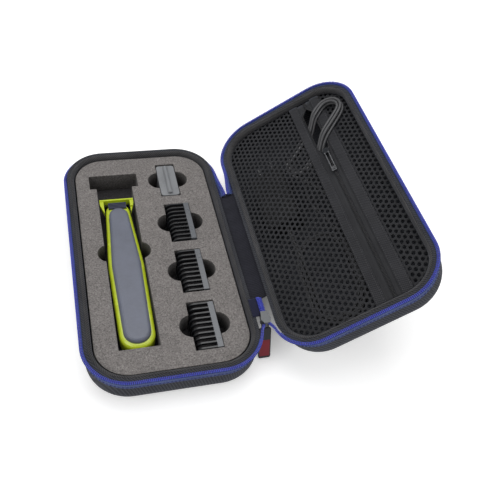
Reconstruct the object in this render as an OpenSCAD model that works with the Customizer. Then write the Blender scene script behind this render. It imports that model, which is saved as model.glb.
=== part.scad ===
// Zip-round hard travel case for a back-up trimmer, with its foam insert, pocket and contents.
// The origin is the middle of the base tray's underside. The hinge runs along Y, the lid is at +X.

/* [Case shells] */
// Width of each tray across the hinge, outside the rim
case_w = 128; // [122:1:150]
// Length of the case along the hinge
case_l = 238; // [232:1:260]
// Corner radius of the rim, seen from above
corner_r = 32; // [26:1:38]
// Height of the base tray up to its rim
base_h = 31; // [30:1:40]
// Depth of the lid tray from its rim to its top
lid_h = 31; // [29:1:40]
// Thickness of the moulded wall
shell_t = 2.5; // [1.5:0.1:3]
// Radius where the side turns into the bottom
bottom_r = 14; // [10:1:16]
// Distance between the two rims at the hinge
hinge_gap = 12; // [12:0.5:18]
// Height of the hinge line above the base rim
hinge_rise = 2; // [1.9:0.1:4]
// How far the open lid stands above level, in degrees
lid_angle = 34.5; // [0:0.5:60]

/* [Rim and zip] */
// Width of the padded band inside the rim
binding_w = 3.2; // [2:0.1:4]
// Height of the padded band
binding_h = 5; // [3:0.5:6]
// Height of the zip tape on the outside of the wall
tape_h = 8; // [5:0.5:10]
// Thickness of the zip tape
tape_t = 0.9; // [0.5:0.1:1.2]
// Width of one row of zip coil
coil_w = 2.2; // [1.6:0.1:2.4]
// Height of one row of zip coil
coil_h = 1.8; // [1.2:0.1:1.8]
// Distance from the +Y end of the case to where the two zip rows end beside the spine
zip_end_in = 67; // [50:1:80]
// Distance from the -Y end of the case to the start of the closed stretch of zip
chain_in = 56.2; // [54:0.2:58]
// Length of the closed stretch of zip up to the slider's wedge
chain_l = 16.8; // [14:0.2:18]
// Length of the slider
slider_l = 10.8; // [9:0.1:12]
// Width of the slider
slider_w = 7.7; // [7:0.1:8.2]
// Thickness of each plate of the slider
slider_t = 1; // [0.8:0.1:1.2]
// Length of the pull tab from its pivot
pull_l = 30; // [20:0.5:30]
// Width of the pull tab
pull_w = 9.6; // [6:0.1:9.8]
// Thickness of the pull tab
pull_t = 1.4; // [1:0.1:1.6]
// Lean of the pull tab away from upright, in degrees
pull_lean = 23; // [10:1:40]
// Thickness of the spine cloth
spine_t = 0.9; // [0.6:0.1:1.2]
// Gap between the spine cloth and the end of the zip rows
spine_gap = 0.5; // [0.3:0.1:10]

/* [Foam insert] */
// Width of the open gap round the foam
foam_gap = 1.2; // [0.6:0.1:2]
// How far the foam lies below the rim
foam_drop = 3; // [2:0.5:4]
// Depth of the recesses cut through the foam
recess_depth = 18; // [16:0.5:19]
// Centre of the trimmer's recess, across the case
trimmer_x = -24.8; // [-26:0.2:-23]
// Width of the trimmer's recess
stem_w = 30.2; // [29.8:0.1:32]
// Lower end of the trimmer's recess, along Y
stem_y = -91; // [-93:0.5:-90]
// Length of the trimmer's recess up to its wide head
stem_l = 167; // [160:0.5:168]
// Width of the recess's head
head_w = 41.4; // [36:0.2:44]
// Length of the recess's head
head_l = 16; // [12:0.5:18]
// Radius of the finger holes beside the trimmer
grip_hole_r = 8.8; // [7:0.1:9]
// Place of the finger holes beside the trimmer, along Y
grip_hole_y = 1.3; // [-10:0.1:10]
// Centre of the combs' recesses, across the case
comb_x = 25.2; // [23:0.2:27]
// Middle of the lowest comb's recess, along Y
comb_y = -78; // [-80:0.5:-76]
// Distance from comb to comb
comb_pitch = 53.2; // [52:0.1:54]
// Width of a comb's recess
comb_recess_w = 21.2; // [21:0.1:23]
// Length of a comb's recess
comb_recess_l = 43.5; // [42.5:0.1:45]
// Radius of the finger holes beside the combs and the cap
finger_r = 9.8; // [8:0.1:10]
// Centre of the cap's recess, across the case
cap_x = 22.9; // [21:0.1:25]
// Centre of the cap's recess, along Y
cap_y = 81; // [79:0.5:82]
// Width of the cap's recess
cap_recess_w = 17; // [16.6:0.1:18]
// Length of the cap's recess
cap_recess_l = 40.9; // [39:0.1:41]

/* [Combs and cap] */
// Width of a comb
comb_w = 20.4; // [18:0.1:20.6]
// Length of a comb
comb_l = 41.4; // [38:0.1:42]
// Ribs on a comb
comb_ribs = 10; // [8:1:12]
// Thickness of a comb's rib
rib_t = 1.3; // [1:0.1:1.6]
// Height of the lowest comb
comb_h = 17; // [16:0.5:17.5]
// How much higher each next comb is
comb_step = 1; // [0.5:0.25:1.25]
// Width of the blade cap
cap_w = 16; // [14:0.1:16.4]
// Length of the blade cap
cap_l = 38; // [34:0.1:38.4]
// Height of the blade cap
cap_h = 17; // [12:0.5:17.5]
// Wall of the blade cap
cap_wall = 1.4; // [1:0.1:2]

/* [Trimmer] */
// Length of the trimmer's body
body_l = 149; // [146:0.5:150]
// Radius of the body's lower end
tail_r = 13.4; // [12:0.1:13.6]
// Radius of the body at its widest
belly_r = 14.3; // [13.6:0.1:14.5]
// Radius of the body at the neck
neck_r = 10.2; // [9.5:0.1:11]
// Height of the body without its cover
body_h = 14.3; // [14:0.1:15]
// Thickness of the front grip
grip_t = 2.4; // [2:0.1:2.6]
// Height of the back cover
cover_h = 4; // [3:0.1:4.5]
// Radius of the back cover at its widest
cover_r = 11.4; // [10.5:0.1:11.8]
// Radius of the power button
button_r = 5; // [4:0.1:5.5]
// Travel of the power button
button_travel = 0.8; // [0.4:0.1:0.8]
// Radius of the battery
battery_r = 5.25; // [4.5:0.05:5.3]
// Length of the battery
battery_l = 44; // [38:0.5:46]
// Radius of the motor
motor_r = 5.8; // [5:0.1:5.8]
// Length of the motor
motor_l = 22; // [18:0.5:24]
// Width of the blade head
blade_w = 28.4; // [27:0.1:28.8]
// Side to side travel of the cutter each way
cutter_travel = 1; // [0.5:0.1:1]

/* [Lid pocket] */
// Thickness of the mesh
mesh_t = 0.8; // [0.6:0.1:1]
// Spacing of the mesh gaps along the hinge
mesh_pitch_y = 7.4; // [6.8:0.1:8]
// Spacing of the mesh gaps across the case
mesh_pitch_x = 8.2; // [7.6:0.1:9]
// Width of the solid web between mesh gaps
mesh_web = 1.7; // [1.2:0.1:2.2]
// Width of the inner webbing
webbing_w = 7.7; // [6:0.1:8]
// Width of the outer webbing
webbing_outer_w = 8.7; // [6:0.1:9]
// Thickness of the webbing
webbing_t = 0.8; // [0.5:0.1:1]
// Middle of the pocket zip, across the lid
pocket_x = 24; // [20:0.5:26]
// Width of the pocket zip's two rows together
pocket_coil_w = 2.7; // [2:0.1:3]
// Place of the pocket slider along Y
pocket_slider_y = 44; // [40:1:46]
// How far the inner edge of the open pocket zip stands aside
part_inner = 5.5; // [4:0.1:6]
// How far the outer edge of the open pocket zip stands aside
part_outer = 3.8; // [3:0.1:4.2]
// Travel of the pocket slider
pocket_travel = 120; // [80:1:122]
// Length of the pocket slider's wire pull
wire_l = 22; // [16:0.5:24]
// Width of the charger
charger_w = 28; // [24:0.5:29]
// Length of the charger
charger_l = 62; // [50:1:64]
// Height of the charger
charger_h = 17; // [14:0.5:17.5]
// Diameter of the charging cord
cord_d = 2.4; // [2:0.1:2.6]
// Loops in each layer of the hank
hank_loops = 2; // [2:1:2]
// Sideways spacing of the hank's loops
hank_pitch = 2.9; // [2.9:0.05:3]
// Spacing of the hank's two layers
hank_layer = 3.4; // [3.3:0.1:3.6]
// Radius of the hank's outer loop
hank_r = 13; // [12.8:0.1:13.2]

/* [Hidden] */
$fn = 64;

// A soft part or a loose piece lies this far from what it rests against.
seat = 0.3;
// Overshoot of a cut past the face it leaves.
eps = 0.1;

// Hinge line and rim
zip_end_y = case_l / 2 - zip_end_in;
chain_y = -case_l / 2 + chain_in;
spine_l = zip_end_y - spine_gap - chain_y - seat;
hinge_x = case_w / 2 + hinge_gap / 2;
hinge_z = base_h + hinge_rise;
row_gap = 0.2;

// Foam
foam_inset = shell_t + binding_w + foam_gap;
foam_top = base_h - foam_drop;
foam_floor = foam_top - recess_depth;
pad_inset = shell_t + bottom_r - 4.5;
contents_z = foam_floor + seat;

// Zip slider, with its plates above and below the closed zip
chain_w = 2 * coil_w + 0.4;
web_t = 0.8;
chain_low = base_h;
chain_top = chain_low + web_t + coil_h;
plate_gap = 0.3;
slider_y = chain_y - chain_l - seat - 3.1;
plate_low = chain_low - plate_gap - slider_t;
plate_top = chain_top + plate_gap;
wedge_l = 2.8;
bridge_t = 0.8;
bridge_gap = 1.5;
bridge_w = 3;
pin_r = 0.6;
pull_y = slider_y - 2.8;
pull_z = plate_low - bridge_gap / 2;

// Lid layers, measured up from the lid tray's own floor
mesh_top = lid_h - binding_h;
mesh_low = mesh_top - mesh_t;
mesh_edge = shell_t + 0.7;
webbing_x = pocket_x - pocket_coil_w / 2 - 5.9 - webbing_w / 2;
webbing_outer_x = pocket_x + pocket_coil_w / 2 + 4.2 + webbing_outer_w / 2;
seam_x = webbing_x - 0.6;
seam_outer_x = webbing_outer_x - 0.3;
pocket_end_y = 104;
open_fast = 2.8;
webbing_edge = shell_t + binding_w + seat;

// Trimmer, drawn from its lower end with Z up from the foam pad
trimmer_y = stem_y + 0.8;
body_low = grip_t;
body_top = body_low + body_h;
cavity_low = body_low + 1.5;
cavity_w = 17;
tail_y = 13.6;
belly_y = body_l - 71;
waist_y = body_l - 21;
button_y = belly_y + 10;
light_y = belly_y - 7;
cover_end_y = waist_y + 3.5;
ridge_y = waist_y + 12.2;
ridge_l = 7;
battery_y = 18;
board_y = 16;
board_t = 1.2;
socket_z = 9.5;
socket_r = 3.6;
motor_y = waist_y - 24;
motor_z = 7.2;
blade_y = body_l + 0.5;
blade_z = 12;

// Combs
comb_sides = 2.2;
comb_wall = 1.5;
frame_w = 4.2;

// Charging cord in the lid tray's own axes: hand-chosen runs, with a flat coil and a hank between
hank_a = [-1, 50];
hank_b = [42, 85];
charger_x = -33;
charger_y = 3;
charger_run = [[-33, 2.2, 11.5], [-33, -4, 11.4], [-33, -10, 10.5], [-33, -17, 9.2],
    [-33, -23, 7.9], [-32.7, -29, 6.2]];
coil_mid = [-17, -55];
coil_run = 22;
coil_r = 15.2;
hank_run = [[4.6, -24, 5], [2, -14, 7.4], [-2, -4, 10.4], [-5.4, 5, 13.4], [-7.2, 14, 16],
    [-6.6, 23, 18.4], [-2.4, 31.6, 20]];
plug_run = [[-3, 30, 22.8], [2, 23, 21.5], [6, 16, 19], [9, 9, 16], [11, 2, 13], [12, -5, 10],
    [12, -12, 7.5], [12, -17, 6.6], [12, -20, 6.6]];
plug_d = 6.6;
plug_l = 20;

// A rounded rectangle, centred on the origin
module round_rect(w, l, r) {
    square([w - 2 * r, l], center = true);
    square([w, l - 2 * r], center = true);
    for (sx = [-1, 1], sy = [-1, 1])
        translate([sx * (w / 2 - r), sy * (l / 2 - r)])
            circle(r);
}

// The tray's outline, brought in by a distance
module inset_outline(inset) {
    round_rect(case_w - 2 * inset, case_l - 2 * inset, corner_r - inset);
}

// Carries a section all round the rim: X is the distance out from the rim's face, Y is height
module around_rim() {
    for (turn = [0 : 3]) {
        reach = turn % 2 == 0 ? case_w / 2 : case_l / 2;
        run = turn % 2 == 0 ? case_l - 2 * corner_r : case_w - 2 * corner_r;
        rotate([0, 0, 90 * turn])
            translate([reach, 0, 0])
                rotate([90, 0, 0])
                    linear_extrude(run, center = true)
                        children();
    }
    for (turn = [0 : 3]) {
        sx = turn == 0 || turn == 3 ? 1 : -1;
        sy = turn < 2 ? 1 : -1;
        translate([sx * (case_w / 2 - corner_r), sy * (case_l / 2 - corner_r), 0])
            rotate([0, 0, 90 * turn])
                rotate_extrude(angle = 90)
                    translate([corner_r, 0])
                        children();
    }
}

// Half of a tray's cross-section: its outer face, from the corner's centre to the rim
module tray_face(height, inset) {
    r = bottom_r - inset;
    translate([-corner_r, inset])
        square([corner_r - inset - r, height - inset]);
    translate([-corner_r, inset + r])
        square([corner_r - inset, height - inset - r]);
    intersection() {
        translate([-inset - r, inset + r])
            circle(r);
        translate([-inset - r, inset])
            square([r, r]);
    }
}

// A moulded tray with a soft bottom edge and a flat floor
module tray(height) {
    around_rim()
        difference() {
            tray_face(height, 0);
            translate([0, eps])
                tray_face(height, shell_t - eps / 2);
            translate([-corner_r - eps, shell_t])
                square([corner_r - shell_t - bottom_r + eps, height]);
        }
    translate([0, 0, shell_t / 2])
        cube([case_w - 2 * corner_r, case_l - 2 * corner_r, shell_t], center = true);
}

// The padded band inside a rim
module rim_band(height) {
    around_rim()
        polygon([[-shell_t, height - binding_h], [-shell_t, height],
            [-shell_t - 0.7, height], [-shell_t - binding_w, height - binding_h / 2],
            [-shell_t - binding_w, height - binding_h]]);
}

// The space beside the hinge that the zip leaves free, with the hinge at +X
module hinge_side_cut(height) {
    lead_y = -(case_l / 2 - corner_r) - 9;
    translate([case_w / 2 - corner_r / 4, lead_y, height - tape_h - eps])
        cube([corner_r, zip_end_y - lead_y, tape_h + coil_h + 2 * eps]);
}

// The zip tape round one tray, with its upper edge turned out under the coil
module tape_ring(height) {
    difference() {
        around_rim()
            polygon([[0, height - tape_h], [tape_t, height - tape_h],
                [tape_t, height - tape_t], [tape_t + coil_w - 0.2, height - tape_t],
                [tape_t + coil_w - 0.2, height], [0, height]]);
        hinge_side_cut(height);
    }
}

// The row of coil on one tray, led in to the slider at the hinge
module coil_ring(height) {
    lead_y = -(case_l / 2 - corner_r) - 9;
    lead_r = corner_r + tape_t + coil_w / 2 - 0.3;
    lead_x = case_w / 2 - corner_r + sqrt(lead_r * lead_r - 81);
    difference() {
        around_rim()
            translate([tape_t - 0.3, height])
                square([coil_w, coil_h]);
        hinge_side_cut(height);
    }
    hull() {
        translate([lead_x, lead_y, height])
            cylinder(d = coil_w, h = coil_h, $fn = 24);
        translate([case_w / 2 + hinge_gap / 2 - row_gap - coil_w / 2, slider_y - slider_l / 2
            - seat - coil_w / 2, height])
            cylinder(d = coil_w, h = coil_h, $fn = 24);
    }
}

// Puts what is drawn in the lid tray's own axes where the open lid is
module in_lid() {
    translate([hinge_x, 0, hinge_z])
        rotate([0, -lid_angle, 0])
            translate([hinge_gap / 2 + case_w / 2, 0, -hinge_rise - lid_h])
                children();
}

// A ribbon of even thickness along a line of points
function side(points, i) =
    let (a = points[max(i - 1, 0)], b = points[min(i + 1, len(points) - 1)], d = b - a)
    [-d[1], d[0]] / norm(d);
module ribbon(points, thickness) {
    last = len(points) - 1;
    polygon(concat(
        [for (i = [0 : last]) points[i] + side(points, i) * thickness / 2],
        [for (i = [last : -1 : 0]) points[i] - side(points, i) * thickness / 2]));
}

// Tube along a line of points, with six sides
function unit(v) = v / norm(v);
function heading(path, i) = unit(path[min(i + 1, len(path) - 1)] - path[max(i - 1, 0)]);
function ring(path, i, r) =
    let (t = heading(path, i), n = unit(cross([0, 0, 1], t)), b = cross(t, n))
    [for (k = [0 : 5]) path[i] + r * (cos(60 * k) * n + sin(60 * k) * b)];
module tube(path, d) {
    count = len(path);
    points = [for (i = [0 : count - 1]) each ring(path, i, d / 2)];
    walls = [for (i = [0 : count - 2], k = [0 : 5])
        each [[6 * i + k, 6 * i + (k + 1) % 6, 6 * i + 6 + (k + 1) % 6],
            [6 * i + k, 6 * i + 6 + (k + 1) % 6, 6 * i + 6 + k]]];
    ends = [for (k = [1 : 4]) each [[0, k + 1, k],
        [6 * count - 6, 6 * count - 6 + k, 6 * count - 5 + k]]];
    polyhedron(points, concat(walls, ends));
}

// Case
module base_shell() {
    color("#2b2c30") tray(base_h);
}
module base_binding() {
    color("#3a3a3c") rim_band(base_h);
}
module base_zip_tape() {
    color("#2f3f8f") tape_ring(base_h);
}
module base_zip_coil() {
    color("#4646c8") coil_ring(base_h);
}
module lid_shell() {
    color("#2b2c30") in_lid() tray(lid_h);
}
module lid_binding() {
    color("#3a3a3c") in_lid() rim_band(lid_h);
}
module lid_zip_tape() {
    color("#2f3f8f") in_lid() mirror([1, 0, 0]) tape_ring(lid_h);
}
module lid_zip_coil() {
    color("#4646c8") in_lid() mirror([1, 0, 0]) coil_ring(lid_h);
}

// Cloth that joins the two backs: down the base wall, under the gap and up the lid wall
module spine_hinge() {
    wall_run = 7;
    slack = 3.5;
    off = hinge_gap / 2 - spine_t / 2 - 0.05;
    base_side = [for (s = [0 : 2]) [-off, -hinge_rise - wall_run + s * wall_run / 3]];
    lid_side = [for (p = base_side) let (q = [-p[0], p[1]])
        [q[0] * cos(lid_angle) - q[1] * sin(lid_angle),
            q[0] * sin(lid_angle) + q[1] * cos(lid_angle)]];
    a = base_side[2];
    b = lid_side[2];
    middle = (a + b) / 2 + [slack * sin(lid_angle / 2), -slack * cos(lid_angle / 2)];
    bend = [for (s = [0.15 : 0.1 : 0.86]) (1 - s) * (1 - s) * a + 2 * s * (1 - s) * middle
        + s * s * b];
    line = concat(base_side, bend, [lid_side[2], lid_side[1], lid_side[0]]);
    color("#1c1c26")
        translate([hinge_x, chain_y + seat + spine_l, hinge_z])
            rotate([90, 0, 0])
                linear_extrude(spine_l)
                    ribbon(line, spine_t);
}

// The stretch of zip that is still closed, and the web that carries it on the base's lip
module zip_chain() {
    color("#4646c8")
        translate([hinge_x - chain_w / 2, chain_y - chain_l, chain_low + web_t])
            cube([chain_w, chain_l, coil_h]);
}
module zip_chain_web() {
    color("#1b1f52")
        translate([case_w / 2 - shell_t, chain_y - chain_l, chain_low])
            cube([hinge_gap / 2 + shell_t + chain_w / 2 - 0.6, chain_l, web_t]);
}

// Plan of a slider: wide near its mouth, pointed where the pull hangs
module slider_plan(w, l) {
    polygon([[-w * 0.34, l / 2], [w * 0.34, l / 2], [w * 0.4, l * 0.15], [w / 2, -l * 0.06],
        [w / 2, -l * 0.2], [w * 0.26, -l / 2], [-w * 0.26, -l / 2], [-w / 2, -l * 0.2],
        [-w / 2, -l * 0.06], [-w * 0.4, l * 0.15]]);
}
module zip_slider() {
    post = 0.9;
    bridge_l = 7.4;
    bridge_y = pull_y - pin_r - 0.2 - post;
    color("#66696e") {
        translate([hinge_x, slider_y, plate_low])
            linear_extrude(slider_t)
                slider_plan(slider_w, slider_l);
        translate([hinge_x, slider_y, plate_top])
            linear_extrude(slider_t)
                slider_plan(slider_w, slider_l);
        translate([hinge_x - 0.9, slider_y - slider_l / 2, plate_low + slider_t / 2])
            cube([1.8, wedge_l, plate_top - plate_low]);
        translate([hinge_x - bridge_w / 2, bridge_y, plate_low - bridge_gap - bridge_t])
            cube([bridge_w, bridge_l, bridge_t]);
        for (y = [bridge_y, bridge_y + bridge_l - post])
            translate([hinge_x - bridge_w / 2, y, plate_low - bridge_gap - bridge_t])
                cube([bridge_w, post, bridge_gap + bridge_t + slider_t / 2]);
    }
}

// Puts what is drawn hanging straight down from the pivot at the pull's rest lean
module at_pull() {
    translate([hinge_x, pull_y, pull_z])
        rotate([-pull_lean, 0, 0])
            children();
}
module pull_tab() {
    eye = bridge_w / 2 + 0.4;
    arm = 1;
    tab_top = 3.2;
    color("#4a4c50") at_pull() {
        rotate([0, 90, 0])
            cylinder(r = pin_r, h = 2 * (eye + arm), center = true, $fn = 24);
        for (side = [-1, 1])
            translate([side * (eye + arm / 2), 0, -tab_top / 2 - 0.3])
                cube([arm, 2 * pin_r, tab_top + 0.6], center = true);
        difference() {
            translate([0, pull_t / 2, -(tab_top + pull_l) / 2])
                rotate([90, 0, 0])
                    linear_extrude(pull_t)
                        round_rect(pull_w, pull_l - tab_top, 1.6);
            translate([0, -pull_t / 2, -pull_l + 9])
                cube([pull_w - 1.6, 0.8, 14.4], center = true);
        }
    }
}
module pull_panel() {
    color("#7a2430") at_pull()
        translate([0, -pull_t / 2 + 0.2, -pull_l + 9])
            cube([pull_w - 1.6, 0.4, 14.4], center = true);
}

// Foam with the recesses cut right through it
module foam_insert() {
    color("#767070")
        translate([0, 0, foam_floor])
            linear_extrude(recess_depth)
                difference() {
                    inset_outline(foam_inset);
                    translate([trimmer_x - stem_w / 2, stem_y])
                        square([stem_w, stem_l + eps]);
                    translate([trimmer_x - head_w / 2, stem_y + stem_l])
                        square([head_w, head_l]);
                    for (side = [-1, 1])
                        translate([trimmer_x + side * (stem_w / 2 - 2.8), grip_hole_y])
                            circle(grip_hole_r);
                    for (i = [0 : 2])
                        translate([comb_x, comb_y + i * comb_pitch])
                            recess(comb_recess_w, comb_recess_l, 1.3);
                    translate([cap_x, cap_y])
                        recess(cap_recess_w, cap_recess_l, 1);
                }
}
// A recess with a finger hole at each side
module recess(w, l, inside) {
    square([w, l], center = true);
    for (side = [-1, 1])
        translate([side * (w / 2 - inside), 0])
            circle(finger_r);
}
module foam_pad() {
    color("#3c3a3c")
        translate([0, 0, shell_t + seat])
            linear_extrude(foam_floor - shell_t - seat)
                inset_outline(pad_inset);
}

// Lid pocket
// A strip across part of the lid, cut to the tray's outline
module strip(x0, x1, inset) {
    intersection() {
        inset_outline(inset);
        translate([x0, -case_l / 2])
            square([x1 - x0, case_l]);
    }
}
// One gap of the net
module net_gap() {
    w = mesh_pitch_x - mesh_web;
    l = mesh_pitch_y - mesh_web;
    polygon([[-w / 2, 0], [-w / 4, -l / 2], [w / 4, -l / 2], [w / 2, 0], [w / 4, l / 2],
        [-w / 4, l / 2]]);
}
// A net of gaps in staggered columns, kept off the corners of the tray
module net(x0, x1) {
    edge = binding_w + shell_t + mesh_web;
    columns = floor((x1 - x0 - 2 * mesh_web) / mesh_pitch_x);
    rows = floor((case_l - 2 * edge) / mesh_pitch_y) - 1;
    difference() {
        strip(x0, x1, mesh_edge);
        for (i = [0 : columns - 1]) {
            x = (x0 + x1) / 2 + (i - (columns - 1) / 2) * mesh_pitch_x;
            for (j = [0 : rows - (i % 2)]) {
                y = (j + (i % 2) / 2 - rows / 2) * mesh_pitch_y;
                in_x = abs(x) + mesh_pitch_x / 2 - (case_w / 2 - corner_r);
                in_y = abs(y) + mesh_pitch_y / 2 - (case_l / 2 - corner_r);
                if (in_x < 0 || in_y < 0 || norm([in_x, in_y]) < corner_r - edge)
                    translate([x, y])
                        net_gap();
            }
        }
    }
}
module pocket_mesh_wide() {
    color("#3c3c3c") in_lid()
        translate([0, 0, mesh_low])
            linear_extrude(mesh_t)
                net(-case_w / 2, seam_x);
}
module pocket_mesh_narrow() {
    color("#3c3c3c") in_lid()
        translate([0, 0, mesh_low])
            linear_extrude(mesh_t)
                net(seam_outer_x, case_w / 2);
}
module pocket_webbing_inner() {
    color("#323234") in_lid()
        translate([0, 0, mesh_top])
            linear_extrude(webbing_t)
                strip(webbing_x - webbing_w / 2, webbing_x + webbing_w / 2, webbing_edge);
}
module pocket_webbing_outer() {
    color("#323234") in_lid()
        translate([0, 0, mesh_top])
            linear_extrude(webbing_t)
                strip(webbing_outer_x - webbing_outer_w / 2,
                    webbing_outer_x + webbing_outer_w / 2, webbing_edge);
}

// How far open the pocket zip is at a place along it, from 0 to 1
function open_share(y) = y <= pocket_slider_y || y >= pocket_end_y ? 0
    : min(1, open_fast * sin(180 * (y - pocket_slider_y) / (pocket_end_y - pocket_slider_y)));
open_steps = [for (s = [0 : 0.0625 : 1]) pocket_slider_y
    + s * (pocket_end_y - pocket_slider_y)];
function inner_edge(off) = [for (y = open_steps)
    [pocket_x - off - part_inner * open_share(y), y]];
function outer_edge(off) = [for (y = open_steps)
    [pocket_x + off + part_outer * open_share(y), y]];
pocket_low_y = -107;

module pocket_tape_inner() {
    off = pocket_coil_w / 2;
    color("#2c2c2e") in_lid()
        translate([0, 0, mesh_low + 0.1])
            linear_extrude(mesh_t - 0.1)
                polygon(concat([[seam_x + row_gap, pocket_low_y], [pocket_x - off, pocket_low_y]],
                    inner_edge(off), [[seam_x + row_gap, pocket_end_y]]));
}
module pocket_tape_outer() {
    off = pocket_coil_w / 2;
    color("#2c2c2e") in_lid()
        translate([0, 0, mesh_low + 0.1])
            linear_extrude(mesh_t - 0.1)
                polygon(concat([[seam_outer_x - row_gap, pocket_low_y],
                    [pocket_x + off, pocket_low_y]], outer_edge(off),
                    [[seam_outer_x - row_gap, pocket_end_y]]));
}
module pocket_zip_coil() {
    half = pocket_coil_w / 2;
    color("#242426") in_lid()
        translate([0, 0, mesh_low + 0.1])
            linear_extrude(1.4) {
                polygon(concat([[pocket_x - half, pocket_low_y], [pocket_x, pocket_low_y],
                    [pocket_x, pocket_slider_y]], [for (p = inner_edge(0)) p],
                    [for (i = [len(open_steps) - 1 : -1 : 0]) inner_edge(half)[i]]));
                polygon(concat([[pocket_x + half, pocket_low_y], [pocket_x, pocket_low_y],
                    [pocket_x, pocket_slider_y]], [for (p = outer_edge(0)) p],
                    [for (i = [len(open_steps) - 1 : -1 : 0]) outer_edge(half)[i]]));
            }
}

// Pocket slider: two plates and a wedge, with a loop for the wire
pocket_plate_low = mesh_low - 0.2 - 0.8;
pocket_plate_top = mesh_low + 0.1 + 1.4 + 0.2;
wire_r = 0.6;
wire_z = pocket_plate_top + 0.9 + wire_r + 0.2;
wire_y = pocket_slider_y - 2.4;
module pocket_slider() {
    w = 6;
    l = 9;
    color("#55585c") in_lid()
        translate([pocket_x, pocket_slider_y, 0]) {
            translate([0, 0, pocket_plate_low])
                linear_extrude(0.8)
                    mirror([0, 1]) slider_plan(w, l);
            translate([0, 0, pocket_plate_top])
                linear_extrude(0.9)
                    mirror([0, 1]) slider_plan(w, l);
            translate([-0.7, l / 2 - 1.6, pocket_plate_low + 0.4])
                cube([1.4, 1.6, pocket_plate_top - pocket_plate_low]);
            for (y = [-3.8, 1])
                translate([-0.8, y, pocket_plate_top + 0.5])
                    cube([1.6, 0.6, 2.6]);
            translate([-0.8, -3.8, pocket_plate_top + 0.9 + 2 * wire_r + 0.4])
                cube([1.6, 5.4, 0.7]);
        }
}
module pocket_pull() {
    eye = 2.2;
    grip_w = 3.2;
    color("#8a8c90") in_lid()
        translate([pocket_x, wire_y, wire_z]) {
            rotate([0, 90, 0])
                cylinder(r = wire_r, h = 2 * eye, center = true, $fn = 16);
            for (side = [-1, 1])
                translate([side * (eye - wire_r), wire_r, 0])
                    rotate([90, 0, 0])
                        cylinder(r = wire_r, h = wire_l, $fn = 16);
            translate([0, wire_r - wire_l, 0])
                rotate([0, 90, 0])
                    cylinder(r = wire_r, h = 2 * eye, center = true, $fn = 16);
            translate([0, -wire_l + grip_w, 0])
                cube([2 * eye - wire_r, grip_w, wire_r], center = true);
        }
}

// Charger, its pins, and the cord that lies in the pocket with its loops out of the open zip
module charger() {
    color("#1e1e20") in_lid()
        difference() {
            translate([charger_x, charger_y + charger_l / 2, shell_t + seat])
                linear_extrude(charger_h)
                    round_rect(charger_w, charger_l, 5);
            translate([charger_x, charger_y - eps, 11.5])
                rotate([-90, 0, 0])
                    cylinder(d = cord_d + 0.4, h = 4);
        }
}
module charger_pins() {
    color("#b8b8ba") in_lid()
        for (side = [-1, 1])
            translate([charger_x + side * 6.35, charger_y + charger_l + 7, 11.5])
                cube([1.5, 14, 6.3], center = true);
}

// Flat oval coil on the lining: down the left, round the low end, up the right, round the top
coil_steps = 64;
coil_z = shell_t + seat + cord_d / 2 + 0.2;
function oval_point(j, r) =
    j < 4 ? coil_mid + [-r, coil_run - j * coil_run / 2]
    : j < 12 ? coil_mid + [-r * cos(22.5 * (j - 4)), -coil_run - r * sin(22.5 * (j - 4))]
    : j < 16 ? coil_mid + [r, -coil_run + (j - 12) * coil_run / 2]
    : coil_mid + [r * cos(22.5 * (j - 16)), coil_run + r * sin(22.5 * (j - 16))];
coil_path = [for (i = [0 : coil_steps])
    let (p = oval_point(i % 24, coil_r + hank_pitch * i / 24)) [p[0], p[1], coil_z]];

// One ring of the hank: out round the far end, back, round the near end and out again
axis_d = unit(hank_b - hank_a);
axis_n = [-axis_d[1], axis_d[0]];
hank_len = norm(hank_b - hank_a);
slit_in = pocket_x - part_inner + cord_d / 4;
slit_out = pocket_x + part_outer - cord_d / 4;
under_z = mesh_low + 0.1 - seat - cord_d / 2;
over_z = mesh_top + webbing_t + seat + cord_d / 2;
function leg_share(x, r, side) =
    ((x - hank_a[0] - side * axis_n[0] * r) / axis_d[0]) / hank_len;
function leg_point(share, r, side) = hank_a + axis_d * hank_len * share + axis_n * side * r;
function leg_stops(r, side) = [0, leg_share(slit_in, r, side) * 0.4,
    leg_share(slit_in, r, side) * 0.75, leg_share(slit_in, r, side),
    leg_share(slit_out, r, side), (1 + leg_share(slit_out, r, side)) / 2];
// Flat place of step j of 24: leg out, far bend, leg back, near bend
function flat_point(j, r) =
    j < 6 ? leg_point(leg_stops(r, -1)[j], r, -1)
    : j < 12 ? hank_b + r * (cos(30 * (j - 6) - 90) * axis_d + sin(30 * (j - 6) - 90) * axis_n)
    : j < 18 ? leg_point(j == 12 ? 1 : leg_stops(r, 1)[18 - j], r, 1)
    : hank_a + r * (cos(30 * (j - 18) + 90) * axis_d + sin(30 * (j - 18) + 90) * axis_n);
// Height at a place across the lid: under the mesh, up through the open zip, over the webbing
function ramp(x) = max(0, min(1, (x - slit_in) / (slit_out - slit_in)));
function layer_rise(x, level) =
    under_z - hank_layer + level * hank_layer + (over_z - under_z + hank_layer) * ramp(x);
hank_steps = 48 * hank_loops - 3;
function loop_r(i) =
    hank_r - hank_pitch * hank_steps / 48 * (1 - abs(2 * i / hank_steps - 1));
function level_at(i) = max(0, min(1, (i - 24 * hank_loops + 6) / 6));
hank_path = [for (i = [0 : hank_steps])
    let (p = flat_point(i % 24, loop_r(i))) [p[0], p[1], layer_rise(p[0], level_at(i))]];
cord_path = concat(charger_run, coil_path, hank_run, hank_path, plug_run);
cord_gaps = [for (i = [0 : len(cord_path) - 1], j = [i + 3 : 1 : len(cord_path) - 1])
    norm(cord_path[i] - cord_path[j]) - cord_d];
echo(least_cord_gap = min(cord_gaps));
echo(cord_length = sum_to(cord_path, len(cord_path) - 1));
function sum_to(path, i) = i == 0 ? 0 : norm(path[i] - path[i - 1]) + sum_to(path, i - 1);

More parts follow.
